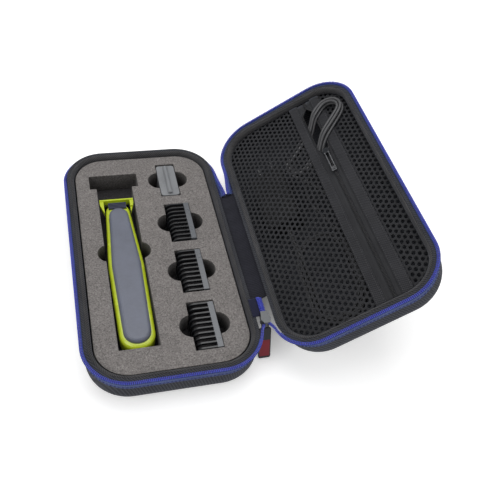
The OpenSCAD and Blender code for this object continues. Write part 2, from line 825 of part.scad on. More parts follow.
module charge_cord() {
    color("#5f5f60") in_lid() tube(cord_path, cord_d);
}
module charge_plug() {
    last = plug_run[len(plug_run) - 1];
    color("#1e1e20") in_lid()
        translate(last)
            rotate([90, 0, 0]) {
                cylinder(d1 = cord_d + 1.6, d2 = plug_d, h = 6);
                translate([0, 0, 6])
                    cylinder(d = plug_d, h = plug_l - 6);
                translate([0, 0, plug_l])
                    cylinder(d = 2.4, h = 7);
            }
}

// Trimmer
module in_trimmer() {
    translate([trimmer_x, trimmer_y, contents_z])
        children();
}
// A disc with soft edges
module soft_disc(r, h, edge) {
    rotate_extrude($fn = 32) {
        square([r - edge, h]);
        translate([0, edge])
            square([r, h - 2 * edge]);
        for (z = [edge, h - edge])
            translate([r - edge, z])
                circle(edge, $fn = 16);
    }
}
module body_form(inset, h, edge) {
    hull() {
        translate([0, tail_r, 0])
            soft_disc(tail_r - inset, h, edge);
        translate([0, belly_y, 0])
            soft_disc(belly_r - inset, h, edge);
        translate([0, waist_y, 0])
            soft_disc(neck_r + 0.6 - inset, h, edge);
        translate([0, body_l - neck_r, 0])
            soft_disc(neck_r - inset, h, edge);
    }
}
module trimmer_body() {
    color("#b4c828") in_trimmer()
        difference() {
            translate([0, 0, body_low])
                body_form(0, body_h, 3.6);
            translate([-cavity_w / 2, 12, cavity_low])
                cube([cavity_w, motor_y + motor_l - 8, body_h]);
            translate([0, button_y, body_low - eps])
                cylinder(r = button_r + 0.4, h = button_travel + eps);
            translate([0, button_y, body_low - eps])
                cylinder(r = 2.3, h = 3);
            translate([0, light_y, body_low - eps])
                cylinder(r = 1.5, h = 3);
            translate([0, -eps, socket_z])
                rotate([-90, 0, 0])
                    cylinder(r = socket_r + 0.2, h = 13);
            translate([0, motor_y, body_low + motor_z])
                rotate([-90, 0, 0])
                    cylinder(r = 1.4, h = body_l);
        }
}
module trimmer_grip() {
    color("#26282c") in_trimmer()
        difference() {
            body_form(3.2, grip_t, 1);
            translate([0, button_y, -eps])
                cylinder(r = button_r + 0.4, h = grip_t + 2 * eps);
            translate([0, light_y, -eps])
                cylinder(r = 1.5, h = grip_t + 2 * eps);
        }
}
module trimmer_cover() {
    top_r = 8;
    color("#62666f") in_trimmer()
        translate([0, 0, body_top])
            difference() {
                hull() {
                    translate([0, tail_y, -cover_h])
                        soft_disc(cover_r - 1.2, 2 * cover_h, 3);
                    translate([0, belly_y, -cover_h])
                        soft_disc(cover_r, 2 * cover_h, 3);
                    translate([0, cover_end_y, -cover_h])
                        soft_disc(top_r, 2 * cover_h, 3);
                }
                translate([-belly_r, -eps, -2 * cover_h])
                    cube([2 * belly_r, body_l, 2 * cover_h]);
            }
}
module trimmer_neck() {
    color("#232840") in_trimmer()
        translate([0, 0, body_top]) {
            translate([-7.5, ridge_y, 0])
                cube([15, ridge_l, 1.2]);
            for (i = [0 : 3])
                translate([-7, ridge_y + 0.9 + i * 1.7, 1.2])
                    rotate([0, 90, 0])
                        cylinder(r = 0.5, h = 14, $fn = 16);
        }
}
module trimmer_button() {
    color("#b4c828") in_trimmer()
        translate([0, button_y, 0.2]) {
            cylinder(r = button_r, h = grip_t - 0.4);
            cylinder(r = 1.8, h = grip_t + 1);
        }
}
module charge_light() {
    color("#d8e8d0") in_trimmer()
        translate([0, light_y, 0.2])
            cylinder(r = 1.2, h = grip_t + 1);
}
module charge_socket() {
    color("#303236") in_trimmer()
        translate([0, 1.2, socket_z])
            rotate([-90, 0, 0])
                difference() {
                    cylinder(r = socket_r, h = 10);
                    translate([0, 0, -eps])
                        cylinder(r = 1.5, h = 8);
                }
}
module battery() {
    color("#3a6ea8") in_trimmer()
        translate([0, battery_y, cavity_low + seat + battery_r])
            rotate([-90, 0, 0]) {
                cylinder(r = battery_r, h = battery_l);
                translate([0, 0, battery_l])
                    cylinder(r = 1.8, h = 0.9);
            }
}
module motor() {
    color("#a8aaae") in_trimmer()
        translate([0, motor_y, body_low + motor_z])
            rotate([-90, 0, 0])
                cylinder(r = motor_r - 0.2, h = motor_l);
}
module circuit_board() {
    color("#2e6b3c") in_trimmer()
        translate([-cavity_w / 2 + 1, board_y, body_top - board_t - seat])
            cube([cavity_w - 2, motor_y - 4 - board_y, board_t]);
}
module drive_pin() {
    color("#c0c2c6") in_trimmer()
        translate([0, motor_y + motor_l, body_low + motor_z])
            rotate([-90, 0, 0])
                cylinder(r = 1.1, h = blade_y - motor_y - motor_l + 0.2, $fn = 32);
}

// Blade head: a light frame across the neck, the toothed guard and the cutter behind it
module blade_frame() {
    half = blade_w / 2;
    side_x = neck_r + 0.8;
    bar_back = 1.4;
    bar_t = 1.5;
    color("#b4c828") in_trimmer() {
        translate([-half, blade_y + bar_back, blade_z])
            cube([blade_w, bar_t, body_top - blade_z + 0.4]);
        for (side = [-1, 1])
            translate([0, 0, blade_z + 1])
                linear_extrude(3.6)
                    polygon([[side * side_x, blade_y + bar_back + 0.2],
                        [side * half, blade_y + bar_back + 0.2],
                        [side * half, blade_y - 2.6], [side * side_x, blade_y - 13]]);
    }
}
module blade_guard() {
    teeth = 13;
    half = blade_w / 2 - 0.4;
    pitch = 2 * half / teeth;
    color("#c8cace") in_trimmer()
        difference() {
            translate([-half, blade_y + 1.8, 2.5])
                cube([2 * half, 1, blade_z - 2.5]);
            for (i = [0 : teeth - 1])
                translate([-half + (i + 0.5) * pitch - 0.45, blade_y + 1.8 - eps, 2.5 - eps])
                    cube([0.9, 1 + 2 * eps, 6.5]);
        }
}
module blade_cutter() {
    teeth = 11;
    half = blade_w / 2 - 0.4 - cutter_travel - 0.4;
    pitch = 2 * half / teeth;
    color("#dcdee2") in_trimmer()
        difference() {
            translate([-half, blade_y + 0.6, 3.2])
                cube([2 * half, 0.9, blade_z - 3.6]);
            for (i = [0 : teeth - 1])
                translate([-half + (i + 0.5) * pitch - 0.5, blade_y + 0.6 - eps, 3.2 - eps])
                    cube([1, 0.9 + 2 * eps, 4]);
        }
}
module blade_latch() {
    color("#9db024") in_trimmer()
        translate([neck_r + 1, blade_y - 7, blade_z + 4.6])
            cube([2.2, 6, 1.4]);
}

// Accessories
// A hair comb: ribs bent over a left shoulder, between a low rail and a flat frame on a wall
module comb(height, place) {
    pitch = (comb_l - rib_t) / (comb_ribs - 1);
    r = comb_w / 2;
    rail = 1.8;
    shoulder = 6;
    color("#17181a")
        translate([comb_x, comb_y + place * comb_pitch, contents_z]) {
            for (i = [0 : comb_ribs - 1])
                translate([0, -comb_l / 2 + rib_t + i * pitch, 0])
                    rotate([90, 0, 0])
                        linear_extrude(rib_t)
                            difference() {
                                comb_outline(r, height, shoulder);
                                translate([comb_sides, -comb_sides])
                                    comb_outline(r, height, shoulder - comb_sides);
                            }
            translate([-r, -comb_l / 2, 0])
                cube([rail, comb_l, rail]);
            translate([r - comb_wall, -comb_l / 2, 0])
                cube([comb_wall, comb_l, height]);
            translate([r - frame_w, -comb_l / 2, height - comb_sides])
                cube([frame_w, comb_l, comb_sides]);
        }
}
// Section of a comb: a block with one rounded upper corner
module comb_outline(r, height, shoulder) {
    translate([-r + shoulder, height - shoulder])
        circle(shoulder);
    translate([-r, 0])
        square([2 * r, height - shoulder]);
    translate([-r + shoulder, 0])
        square([2 * r - shoulder, height]);
}
module comb_short() {
    comb(comb_h, 0);
}
module comb_medium() {
    comb(comb_h + comb_step, 1);
}
module comb_long() {
    comb(comb_h + 2 * comb_step, 2);
}
module blade_cap() {
    ridge_r = 2.2;
    color("#7d8288")
        translate([cap_x, cap_y, contents_z])
            difference() {
                union() {
                    linear_extrude(cap_h)
                        round_rect(cap_w, cap_l, 2.5);
                    translate([0, cap_l / 2 - 2, cap_h])
                        rotate([90, 0, 0])
                            cylinder(r = ridge_r, h = cap_l - 4);
                }
                translate([0, 0, -eps])
                    linear_extrude(cap_h - cap_wall + eps)
                        round_rect(cap_w - 2 * cap_wall, cap_l - 2 * cap_wall, 1.6);
            }
}

base_shell();
base_binding();
base_zip_tape();
base_zip_coil();
foam_insert();
foam_pad();
spine_hinge();
zip_chain();
zip_chain_web();
zip_slider();
pull_tab();
pull_panel();
lid_shell();
lid_binding();
lid_zip_tape();
lid_zip_coil();
pocket_mesh_wide();
pocket_mesh_narrow();
pocket_webbing_inner();
pocket_webbing_outer();
pocket_tape_inner();
pocket_tape_outer();
pocket_zip_coil();
pocket_slider();
pocket_pull();
charger();
charger_pins();
charge_cord();
charge_plug();
trimmer_body();
trimmer_grip();
trimmer_cover();
trimmer_neck();
trimmer_button();
charge_light();
charge_socket();
battery();
motor();
circuit_board();
drive_pin();
blade_frame();
blade_guard();
blade_cutter();
blade_latch();
comb_short();
comb_medium();
comb_long();
blade_cap();
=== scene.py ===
# A zip-round hard case, open on a table: a foam tray with a cordless trimmer, three combs and
# a blade cap in the base, and a mesh pocket with a charger and its cord in the lid.
import math

import bpy
import bmesh
from mathutils import Matrix, Vector


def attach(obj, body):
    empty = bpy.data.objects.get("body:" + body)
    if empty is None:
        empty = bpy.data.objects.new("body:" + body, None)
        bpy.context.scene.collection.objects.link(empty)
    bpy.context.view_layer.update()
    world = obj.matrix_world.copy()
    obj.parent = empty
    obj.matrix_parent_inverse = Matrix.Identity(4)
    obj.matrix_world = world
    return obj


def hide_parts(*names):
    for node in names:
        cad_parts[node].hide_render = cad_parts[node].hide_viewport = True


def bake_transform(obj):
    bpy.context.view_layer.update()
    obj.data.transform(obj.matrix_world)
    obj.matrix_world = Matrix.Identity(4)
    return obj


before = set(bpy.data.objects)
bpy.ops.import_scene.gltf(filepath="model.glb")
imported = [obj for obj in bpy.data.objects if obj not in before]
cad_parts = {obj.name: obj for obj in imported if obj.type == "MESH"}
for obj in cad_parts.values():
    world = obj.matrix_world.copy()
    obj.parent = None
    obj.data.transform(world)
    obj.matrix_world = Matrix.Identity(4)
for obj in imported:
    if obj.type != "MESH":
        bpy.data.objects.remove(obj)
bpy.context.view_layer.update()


# ---- Camera ----
# Stands in front of the case's low end, to the left, and looks down on both trays.
bpy.ops.object.camera_add()
camera = bpy.context.object
camera.name = "view_camera"
camera.matrix_world = Matrix(((0.96487, 0.09726, -0.24410, -0.0612),
                              (-0.23398, 0.74080, -0.62966, -0.3535),
                              (0.11959, 0.66465, 0.73752, 0.4365),
                              (0, 0, 0, 1)))
camera.data.lens = 48.82
camera.data.sensor_width = 36
bpy.context.scene.camera = camera


# ---- Charging cord and its plug ----
# A thin, limp two-core lead of grey rubber. It leaves the charger's end, lies as a flat coil
# on the pocket's lining and as a hank that is pushed half out of the open pocket zip.
# It is laid out in mm in the lid tray's own axes, and LID carries it to the open lid.
HINGE_X, HINGE_Z = 70, 33
TILT = math.radians(34.5)
LID = (Matrix.Translation((HINGE_X / 1000, 0, HINGE_Z / 1000))
       @ Matrix.Rotation(-TILT, 4, "Y")
       @ Matrix.Translation((HINGE_X / 1000, 0, -HINGE_Z / 1000)))
LID_OUT = Vector((math.cos(TILT), 0, math.sin(TILT)))
LID_UP = Vector((-math.sin(TILT), 0, math.cos(TILT)))

cord_thick = 2.4
charger_run = [(-33, 2.2, 11.5), (-33, -4, 11.4), (-33, -10, 10.5), (-33, -17, 9.2),
               (-33, -23, 7.9), (-32.7, -29, 6.2)]
hank_run = [(4.6, -24, 5), (2, -14, 7.4), (-2, -4, 10.4), (-5.4, 5, 13.4), (-7.2, 14, 16),
            (-6.6, 23, 18.4), (-2.4, 31.6, 20)]
plug_run = [(-3, 30, 22.8), (2, 23, 21.5), (6, 16, 19), (9, 9, 16), (11, 2, 13), (12, -5, 10),
            (12, -12, 7.5), (12, -17, 6.6), (12, -20, 6.6)]


# Both the coil and the hank take 24 points a turn, and their turns lie a pitch apart.
LOOP_STEPS, cord_pitch = 24, 2.9
coil_x, coil_far, coil_near, coil_z = -17, -33, -77, 4.2
coil_inner_r, coil_points = 15.2, 65


def coil_point(i):
    """The flat coil: two straight sides and two half circles that grow a pitch each turn."""
    r = coil_inner_r + cord_pitch * i / LOOP_STEPS
    j = i % LOOP_STEPS
    straight_step = (coil_far - coil_near) / 4
    turn = math.radians(22.5)
    if j < 4:
        return (coil_x - r, coil_far - straight_step * j, coil_z)
    if j < 12:
        return (coil_x - r * math.cos(turn * (j - 4)), coil_near - r * math.sin(turn * (j - 4)),
                coil_z)
    if j < 16:
        return (coil_x + r, coil_near + straight_step * (j - 12), coil_z)
    return (coil_x + r * math.cos(turn * (j - 16)), coil_far + r * math.sin(turn * (j - 16)),
            coil_z)


# The hank's turns run between two ends, and pass up through the open zip between its edges.
hank_points = 94
hank_outer_r = 13
hank_low, hank_over_zip, hank_lift = 23.8, 28.3, 3.4
POCKET_ZIP_X = 24
OPEN_IN, OPEN_OUT = 5.5, 3.8
hank_a = Vector((-1, 50))
hank_b = Vector((42, 85))
hank_len = (hank_b - hank_a).length
hank_along = (hank_b - hank_a) / hank_len
hank_side = Vector((-hank_along.y, hank_along.x))
slit_in = POCKET_ZIP_X - OPEN_IN + cord_thick / 4
slit_out = POCKET_ZIP_X + OPEN_OUT - cord_thick / 4


def hank_point(i):
    """One place on the hank: two legs and two half circles, the second turn above the first."""
    last = hank_points - 1
    r = hank_outer_r - cord_pitch * last / (2 * LOOP_STEPS) * (1 - abs(2 * i / last - 1))
    j = i % LOOP_STEPS

    def share(x, side):
        return ((x - hank_a.x - side * hank_side.x * r) / hank_along.x) / hank_len

    def leg(part, side):
        return hank_a + hank_along * hank_len * part + hank_side * side * r

    def stops(side):
        inner, outer = share(slit_in, side), share(slit_out, side)
        return [0, inner * 0.4, inner * 0.75, inner, outer, (1 + outer) / 2]

    if j < 6:
        p = leg(stops(-1)[j], -1)
    elif j < 12:
        t = math.radians(30 * (j - 6) - 90)
        p = hank_b + r * (math.cos(t) * hank_along + math.sin(t) * hank_side)
    elif j < 18:
        p = leg(1 if j == 12 else stops(1)[18 - j], 1)
    else:
        t = math.radians(30 * (j - 18) + 90)
        p = hank_a + r * (math.cos(t) * hank_along + math.sin(t) * hank_side)
    level = max(0, min(1, (i - 2 * LOOP_STEPS + 6) / 6))
    ramp = max(0, min(1, (p.x - slit_in) / (slit_out - slit_in)))
    rise = hank_over_zip - hank_low + hank_lift
    return (p.x, p.y, hank_low - hank_lift + level * hank_lift + rise * ramp)


cord_route = (charger_run + [coil_point(i) for i in range(coil_points)] + hank_run
              + [hank_point(i) for i in range(hank_points)] + plug_run)
cord_line = bpy.data.curves.new("charge_lead", "CURVE")
cord_line.dimensions = "3D"
cord_line.bevel_depth = cord_thick / 2000
cord_line.bevel_resolution = 3
cord_line.resolution_u = 4
cord_line.use_fill_caps = True
spline = cord_line.splines.new("NURBS")
spline.points.add(len(cord_route) - 1)
for point, place in zip(spline.points, cord_route):
    point.co = (LID @ (Vector(place) / 1000)).to_4d()
spline.order_u = 3
spline.use_endpoint_u = True
lead = bpy.data.objects.new("charge_lead", cord_line)
bpy.context.collection.objects.link(lead)


def put(tree, kind, sockets=None, **settings):
    """Adds one shader node: settings are its own fields, sockets are numbers or links."""
    node = tree.nodes.new(kind)
    for key, value in settings.items():
        setattr(node, key, value)
    for key, value in (sockets or {}).items():
        if isinstance(value, bpy.types.NodeSocket):
            tree.links.new(value, node.inputs[key])
        else:
            node.inputs[key].default_value = value
    return node


def effect(name, takes, gives):
    """Starts a shader node group with named inputs and outputs."""
    tree = bpy.data.node_groups.new(name, "ShaderNodeTree")
    for label, kind in takes:
        tree.interface.new_socket(name=label, in_out="INPUT", socket_type="NodeSocket" + kind)
    for label, kind in gives:
        tree.interface.new_socket(name=label, in_out="OUTPUT", socket_type="NodeSocket" + kind)
    return tree, tree.nodes.new("NodeGroupInput").outputs, tree.nodes.new("NodeGroupOutput")


def noise(tree, place, scale, detail=3.0, rough=0.55):
    return put(tree, "ShaderNodeTexNoise", {"Vector": place, "Scale": scale, "Detail": detail,
                                            "Roughness": rough}).outputs[0]


def sums(tree, kind, a, b, clamp=False):
    return put(tree, "ShaderNodeMath", {0: a, 1: b}, operation=kind, use_clamp=clamp).outputs[0]


def spread(tree, value, low, high, new_low=0.0, new_high=1.0):
    """Stretches a value between low and high to the new range."""
    return put(tree, "ShaderNodeMapRange", {"Value": value, "From Min": low, "From Max": high,
                                            "To Min": new_low, "To Max": new_high}).outputs[0]


def blend_colour(tree, share, a, b, kind="MIX"):
    return put(tree, "ShaderNodeMix", {0: share, 6: a, 7: b}, data_type="RGBA",
               blend_type=kind).outputs[2]


# Moulded grain: a fine sparkle of height, with patches that hands have polished.
moulded, gin, gout = effect("moulded_grain", [("Place", "Vector"), ("Colour", "Color"),
                                              ("Grain", "Float"), ("Rough", "Float")],
                            [("Colour", "Color"), ("Rough", "Float"), ("Height", "Float")])
fine = noise(moulded, gin["Place"], gin["Grain"], 2.0)
patch = noise(moulded, gin["Place"], 70.0, 4.0, 0.65)
specks = noise(moulded, gin["Place"], 520.0, 2.0, 0.5)
shade = spread(moulded, patch, 0.3, 0.7, 0.90, 1.08)
shade = sums(moulded, "MULTIPLY", shade, spread(moulded, specks, 0.3, 0.7, 0.97, 1.03))
tone = put(moulded, "ShaderNodeCombineColor", {0: shade, 1: shade, 2: shade}).outputs[0]
moulded.links.new(blend_colour(moulded, 1.0, gin["Colour"], tone, "MULTIPLY"),
                  gout.inputs["Colour"])
moulded.links.new(sums(moulded, "MULTIPLY", gin["Rough"],
                       spread(moulded, patch, 0.3, 0.75, 0.82, 1.2), True), gout.inputs["Rough"])
moulded.links.new(fine, gout.inputs["Height"])


def finish(name, metallic=0.0, specular=0.5, coat=0.0, coat_rough=0.1, sheen=0.0,
           sheen_tint=(1, 1, 1, 1)):
    """Starts a material with a plain shader; returns it with its tree, shader and place."""
    made = bpy.data.materials.new(name)
    made.use_nodes = True
    tree = made.node_tree
    shader = tree.nodes["Principled BSDF"]
    shader.inputs["Metallic"].default_value = metallic
    shader.inputs["Specular IOR Level"].default_value = specular
    shader.inputs["Coat Weight"].default_value = coat
    shader.inputs["Coat Roughness"].default_value = coat_rough
    shader.inputs["Sheen Weight"].default_value = sheen
    shader.inputs["Sheen Tint"].default_value = sheen_tint
    place = tree.nodes.new("ShaderNodeTexCoord").outputs["Object"]
    return made, tree, shader, place


def raise_by(tree, shader, height, distance):
    bump = put(tree, "ShaderNodeBump", {"Height": height, "Distance": distance,
                                        "Strength": 0.6})
    tree.links.new(bump.outputs[0], shader.inputs["Normal"])


def moulded_finish(name, colour, rough, grain=1800.0, depth=0.00005, **more):
    made, tree, shader, place = finish(name, **more)
    fx = put(tree, "ShaderNodeGroup", {}, node_tree=moulded)
    tree.links.new(place, fx.inputs["Place"])
    fx.inputs["Colour"].default_value = colour
    fx.inputs["Grain"].default_value = grain
    fx.inputs["Rough"].default_value = rough
    tree.links.new(fx.outputs["Colour"], shader.inputs["Base Color"])
    tree.links.new(fx.outputs["Rough"], shader.inputs["Roughness"])
    raise_by(tree, shader, fx.outputs["Height"], depth)
    return made


def rgb(red, green, blue):
    """A screen colour, 0 to 255, as the shader wants it."""
    def even(v):
        v = v / 255
        return v / 12.92 if v <= 0.04045 else ((v + 0.055) / 1.055) ** 2.4
    return (even(red), even(green), even(blue), 1.0)


def dress(node, made):
    """Gives a CAD node its finish."""
    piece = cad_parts[node]
    for place in piece.material_slots:
        place.material = made
    if not piece.material_slots:
        piece.data.materials.append(made)
    return piece


lead_rubber = moulded_finish("lead_rubber", rgb(74, 74, 76), 0.42, 1400.0, 0.00004,
                             specular=0.45)
cord_line.materials.append(lead_rubber)
plug_plastic = moulded_finish("plug_plastic", rgb(34, 34, 36), 0.36, 1600.0)
plug = dress("charge_plug", plug_plastic)
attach(lead, "lid")
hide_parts("charge_cord")


# ---- Studio ----
# A plain white table, a large soft light above and two weaker ones at the sides. The table
# is lifted to white for the camera, except in a soft patch of painted shade under the hinge.
bpy.ops.object.select_all(action="DESELECT")
bpy.ops.mesh.primitive_plane_add(size=6, location=(0.06, 0, 0))
table = bpy.context.object
table.name = "table_top"
table_paint = bpy.data.materials.new("table_white")
table_paint.use_nodes = True
table_tree = table_paint.node_tree
table_shader = table_tree.nodes["Principled BSDF"]
table_shader.inputs["Base Color"].default_value = (0.86, 0.86, 0.86, 1)
table_shader.inputs["Roughness"].default_value = 0.7
table_shader.inputs["Specular IOR Level"].default_value = 0.2
table_shader.inputs["Emission Color"].default_value = (1, 1, 1, 1)
lift_with_painted_shade = put(table_tree, "ShaderNodeLightPath").outputs["Is Camera Ray"]
table_place = put(table_tree, "ShaderNodeTexCoord").outputs["Object"]
table_axes = put(table_tree, "ShaderNodeSeparateXYZ", {0: table_place}).outputs
# Painted shadow: in an ellipse round the gap under the hinge the lift fades, so the table looks
# shaded there at every pose.
far = 0.0
for axis, middle, half in ((0, 0.018, 0.030), (1, -0.012, 0.072)):
    off = sums(table_tree, "DIVIDE", sums(table_tree, "SUBTRACT", table_axes[axis], middle), half)
    far = sums(table_tree, "ADD", sums(table_tree, "MULTIPLY", off, off), far)
lift_with_painted_shade = sums(table_tree, "MULTIPLY", lift_with_painted_shade, spread(table_tree, far, 0.2, 1.7, 0.15, 1.0))
table_tree.links.new(sums(table_tree, "MULTIPLY", lift_with_painted_shade, 0.45),
                     table_shader.inputs["Emission Strength"])
table.data.materials.append(table_paint)
for name, spot, aim, wide, power in (
        ("soft_top", (0.05, 0.25, 1.15), (0.06, 0.0, 0.0), 1.1, 8.0),
        ("soft_left", (-0.85, -0.45, 0.75), (0.0, 0.0, 0.03), 0.7, 3.6),
        ("soft_right", (0.95, -0.5, 0.7), (0.1, 0.0, 0.05), 0.7, 2.4)):
    bpy.ops.object.light_add(type="AREA", location=spot)
    lamp = bpy.context.object
    lamp.name = name
    lamp.data.size = wide
    lamp.data.energy = power
    lamp.rotation_euler = (Vector(aim) - Vector(spot)).to_track_quat("-Z", "Y").to_euler()
world = bpy.data.worlds.new("studio_air")
bpy.context.scene.world = world
world.use_nodes = True
world.node_tree.nodes["Background"].inputs["Color"].default_value = (1, 1, 1, 1)
world.node_tree.nodes["Background"].inputs["Strength"].default_value = 0.38
bpy.context.scene.view_settings.view_transform = "Standard"


# ---- Case shells ----
# Two deep trays of foam board, moulded under heat with a charcoal ribbed nylon outside and
# the same cloth as lining. The ribs run slantwise on the sides.
ribbed, gin, gout = effect("ribbed_cloth", [("Place", "Vector"), ("Across", "Vector"),
                                            ("Along", "Vector"), ("Light", "Color"),
                                            ("Dark", "Color"), ("Fade", "Float")],
                           [("Colour", "Color"), ("Rough", "Float"), ("Height", "Float")])
wobble = noise(ribbed, gin["Place"], 260.0, 2.0, 0.5)
rib = put(ribbed, "ShaderNodeVectorMath", {0: gin["Place"], 1: gin["Across"]},
          operation="DOT_PRODUCT").outputs["Value"]
rib = sums(ribbed, "ADD", rib, spread(ribbed, wobble, 0.0, 1.0, -0.9, 0.9))
rib = sums(ribbed, "SINE", rib, 0.0)
pick = put(ribbed, "ShaderNodeVectorMath", {0: gin["Place"], 1: gin["Along"]},
           operation="DOT_PRODUCT").outputs["Value"]
pick = sums(ribbed, "SINE", pick, 0.0)
weave = sums(ribbed, "ADD", sums(ribbed, "MULTIPLY", rib, 0.34),
             sums(ribbed, "MULTIPLY", pick, 0.14))
weave = sums(ribbed, "ADD", sums(ribbed, "MULTIPLY", weave, gin["Fade"]), 0.5)
fuzz = noise(ribbed, gin["Place"], 2600.0, 2.0)
worn = noise(ribbed, gin["Place"], 42.0, 4.0, 0.6)
share = sums(ribbed, "ADD", weave, spread(ribbed, fuzz, 0.3, 0.7, -0.18, 0.18))
share = sums(ribbed, "ADD", share, spread(ribbed, worn, 0.35, 0.75, -0.16, 0.2), True)
ribbed.links.new(blend_colour(ribbed, share, gin["Dark"], gin["Light"]), gout.inputs["Colour"])
ribbed.links.new(spread(ribbed, weave, 0.0, 1.0, 0.92, 0.72), gout.inputs["Rough"])
ribbed.links.new(sums(ribbed, "ADD", weave, spread(ribbed, fuzz, 0.3, 0.7, -0.1, 0.1)),
                 gout.inputs["Height"])


def cloth_finish(name, light, dark, across, along, depth, uv=False):
    """Ribbed cloth: across and along are directions in turns for each metre. The ribs fade
    where a rounded corner faces the way they run across, or they would close to rings."""
    made, tree, shader, place = finish(name, specular=0.25, sheen=0.15,
                                       sheen_tint=(0.8, 0.85, 1, 1))
    fx = put(tree, "ShaderNodeGroup", {}, node_tree=ribbed)
    if uv:
        place = put(tree, "ShaderNodeUVMap", uv_map="run").outputs[0]
        fx.inputs["Fade"].default_value = 1.0
    else:
        facing = put(tree, "ShaderNodeVectorMath", {
            0: tree.nodes["Texture Coordinate"].outputs["Normal"],
            1: Vector(across).normalized()}, operation="DOT_PRODUCT").outputs["Value"]
        facing = sums(tree, "MULTIPLY", facing, facing)
        tree.links.new(spread(tree, facing, 0.9, 0.985, 1.0, 0.0), fx.inputs["Fade"])
    tree.links.new(place, fx.inputs["Place"])
    fx.inputs["Across"].default_value = Vector(across) * 2 * math.pi
    fx.inputs["Along"].default_value = Vector(along) * 2 * math.pi
    fx.inputs["Light"].default_value = light
    fx.inputs["Dark"].default_value = dark
    tree.links.new(fx.outputs["Colour"], shader.inputs["Base Color"])
    tree.links.new(fx.outputs["Rough"], shader.inputs["Roughness"])
    raise_by(tree, shader, fx.outputs["Height"], depth)
    return made


shell_cloth = cloth_finish("shell_cloth", rgb(66, 67, 72), rgb(27, 27, 30), (440, 440, 160),
                           (-700, 700, 300), 0.0003)
dress("base_shell", shell_cloth)
lid_cloth = cloth_finish("lid_shell_cloth", rgb(66, 68, 74), rgb(27, 27, 30),
                         Vector((0, 440, 0)) + LID_OUT * 440 + LID_UP * 160,
                         Vector((0, 700, 0)) - LID_OUT * 700, 0.0003)
dress("lid_shell", lid_cloth)


# ---- Rim bindings ----
# A soft band of grey ribbed tape over a foam core, sewn inside each rim and rolled over its
# edge. One row of stitches holds it under the lip; these stitches are not drawn.
HALF_W, HALF_L, CORNER_R = 0.064, 0.119, 0.032
CORNER_X, CORNER_Y = HALF_W - CORNER_R, HALF_L - CORNER_R


def rim_line(step, start=-CORNER_Y, stop=360):
    """Points and outward directions once round the rim, from a place on the hinge side. With
    a smaller stop angle the line ends in the last corner."""
    line = []

    def straight(a, b, out):
        a, b = Vector(a), Vector(b)
        count = max(1, round((b - a).length / step))
        for i in range(count):
            line.append((a + (b - a) * i / count, Vector(out)))

    def corner(x, y, first, last):
        count = max(3, round(CORNER_R * math.radians(last - first) / step))
        for i in range(count):
            t = math.radians(first + (last - first) * i / count)
            out = Vector((math.cos(t), math.sin(t)))
            line.append((Vector((x, y)) + out * CORNER_R, out))

    straight((HALF_W, start), (HALF_W, CORNER_Y), (1, 0))
    corner(CORNER_X, CORNER_Y, 0, 90)
    straight((CORNER_X, HALF_L), (-CORNER_X, HALF_L), (0, 1))
    corner(-CORNER_X, CORNER_Y, 90, 180)
    straight((-HALF_W, CORNER_Y), (-HALF_W, -CORNER_Y), (-1, 0))
    corner(-CORNER_X, -CORNER_Y, 180, 270)
    straight((-CORNER_X, -HALF_L), (CORNER_X, -HALF_L), (0, -1))
    corner(CORNER_X, -CORNER_Y, 270, stop)
    return line


def face_out(data):
    """Makes a mesh's normals face outwards."""
    form = bmesh.new()
    form.from_mesh(data)
    bmesh.ops.recalc_face_normals(form, faces=form.faces)
    form.to_mesh(data)
    form.free()


def face_up(data):
    """Turns an open lid cloth over if it faces into the lid."""
    form = bmesh.new()
    form.from_mesh(data)
    if sum(f.normal.dot(LID_UP) for f in form.faces) < 0:
        bmesh.ops.reverse_faces(form, faces=form.faces)
    form.to_mesh(data)
    form.free()


def mesh_piece(name, points, faces, place=None):
    """A new mesh from points and faces, with its normals made to face outwards."""
    data = bpy.data.meshes.new(name)
    data.from_pydata([tuple(p) for p in points], [], faces)
    if place is not None:
        data.transform(place)
    face_out(data)
    piece = bpy.data.objects.new(name, data)
    bpy.context.collection.objects.link(piece)
    return piece


def carry(name, line, section, closed, place=None, sway=None):
    """Carries a section round a line: each section point is how far out and how high, in mm.
    A sway gives the section at each place another reach and height.
    The surface gets a map that runs along the line and across the section, in metres."""
    many = len(section)
    points = []
    for p, o in line:
        for x, z in section:
            x, z = sway(p, x, z) if sway else (x, z)
            points.append((*(p + o * (x / 1000)), z / 1000))
    count = len(line)
    laps = count if closed else count - 1
    faces = [(i * many + k, i * many + (k + 1) % many,
              (i + 1) % count * many + (k + 1) % many, (i + 1) % count * many + k)
             for i in range(laps) for k in range(many)]
    if not closed:
        faces.append(tuple(range(many)))
        faces.append(tuple((count - 1) * many + k for k in range(many)))
    far = [0.0]
    for i in range(1, count + 1):
        far.append(far[-1] + (line[i % count][0] - line[i - 1][0]).length)
    edge = [0.0]
    for k in range(many):
        a, b = section[k], section[(k + 1) % many]
        edge.append(edge[-1] + math.dist(a, b) / 1000)
    data = bpy.data.meshes.new(name)
    data.from_pydata(points, [], faces)
    run = data.uv_layers.new(name="run")
    for face in data.polygons[:laps * many]:
        i, k = divmod(face.index, many)
        for loop, (u, v) in zip(face.loop_indices,
                                ((i, k), (i, k + 1), (i + 1, k + 1), (i + 1, k))):
            run.data[loop].uv = (far[u], edge[v])
    if place is not None:
        data.transform(place)
    face_out(data)
    data.shade_smooth()
    piece = bpy.data.objects.new(name, data)
    bpy.context.collection.objects.link(piece)
    return piece


def shape(piece, **modifiers):
    """Adds named modifiers with their settings and applies them."""
    bpy.ops.object.select_all(action="DESELECT")
    bpy.context.view_layer.objects.active = piece
    piece.select_set(True)
    for kind, settings in modifiers.items():
        made = piece.modifiers.new(kind, kind)
        for key, value in settings.items():
            setattr(made, key, value)
        bpy.ops.object.modifier_apply(modifier=made.name)
    return piece


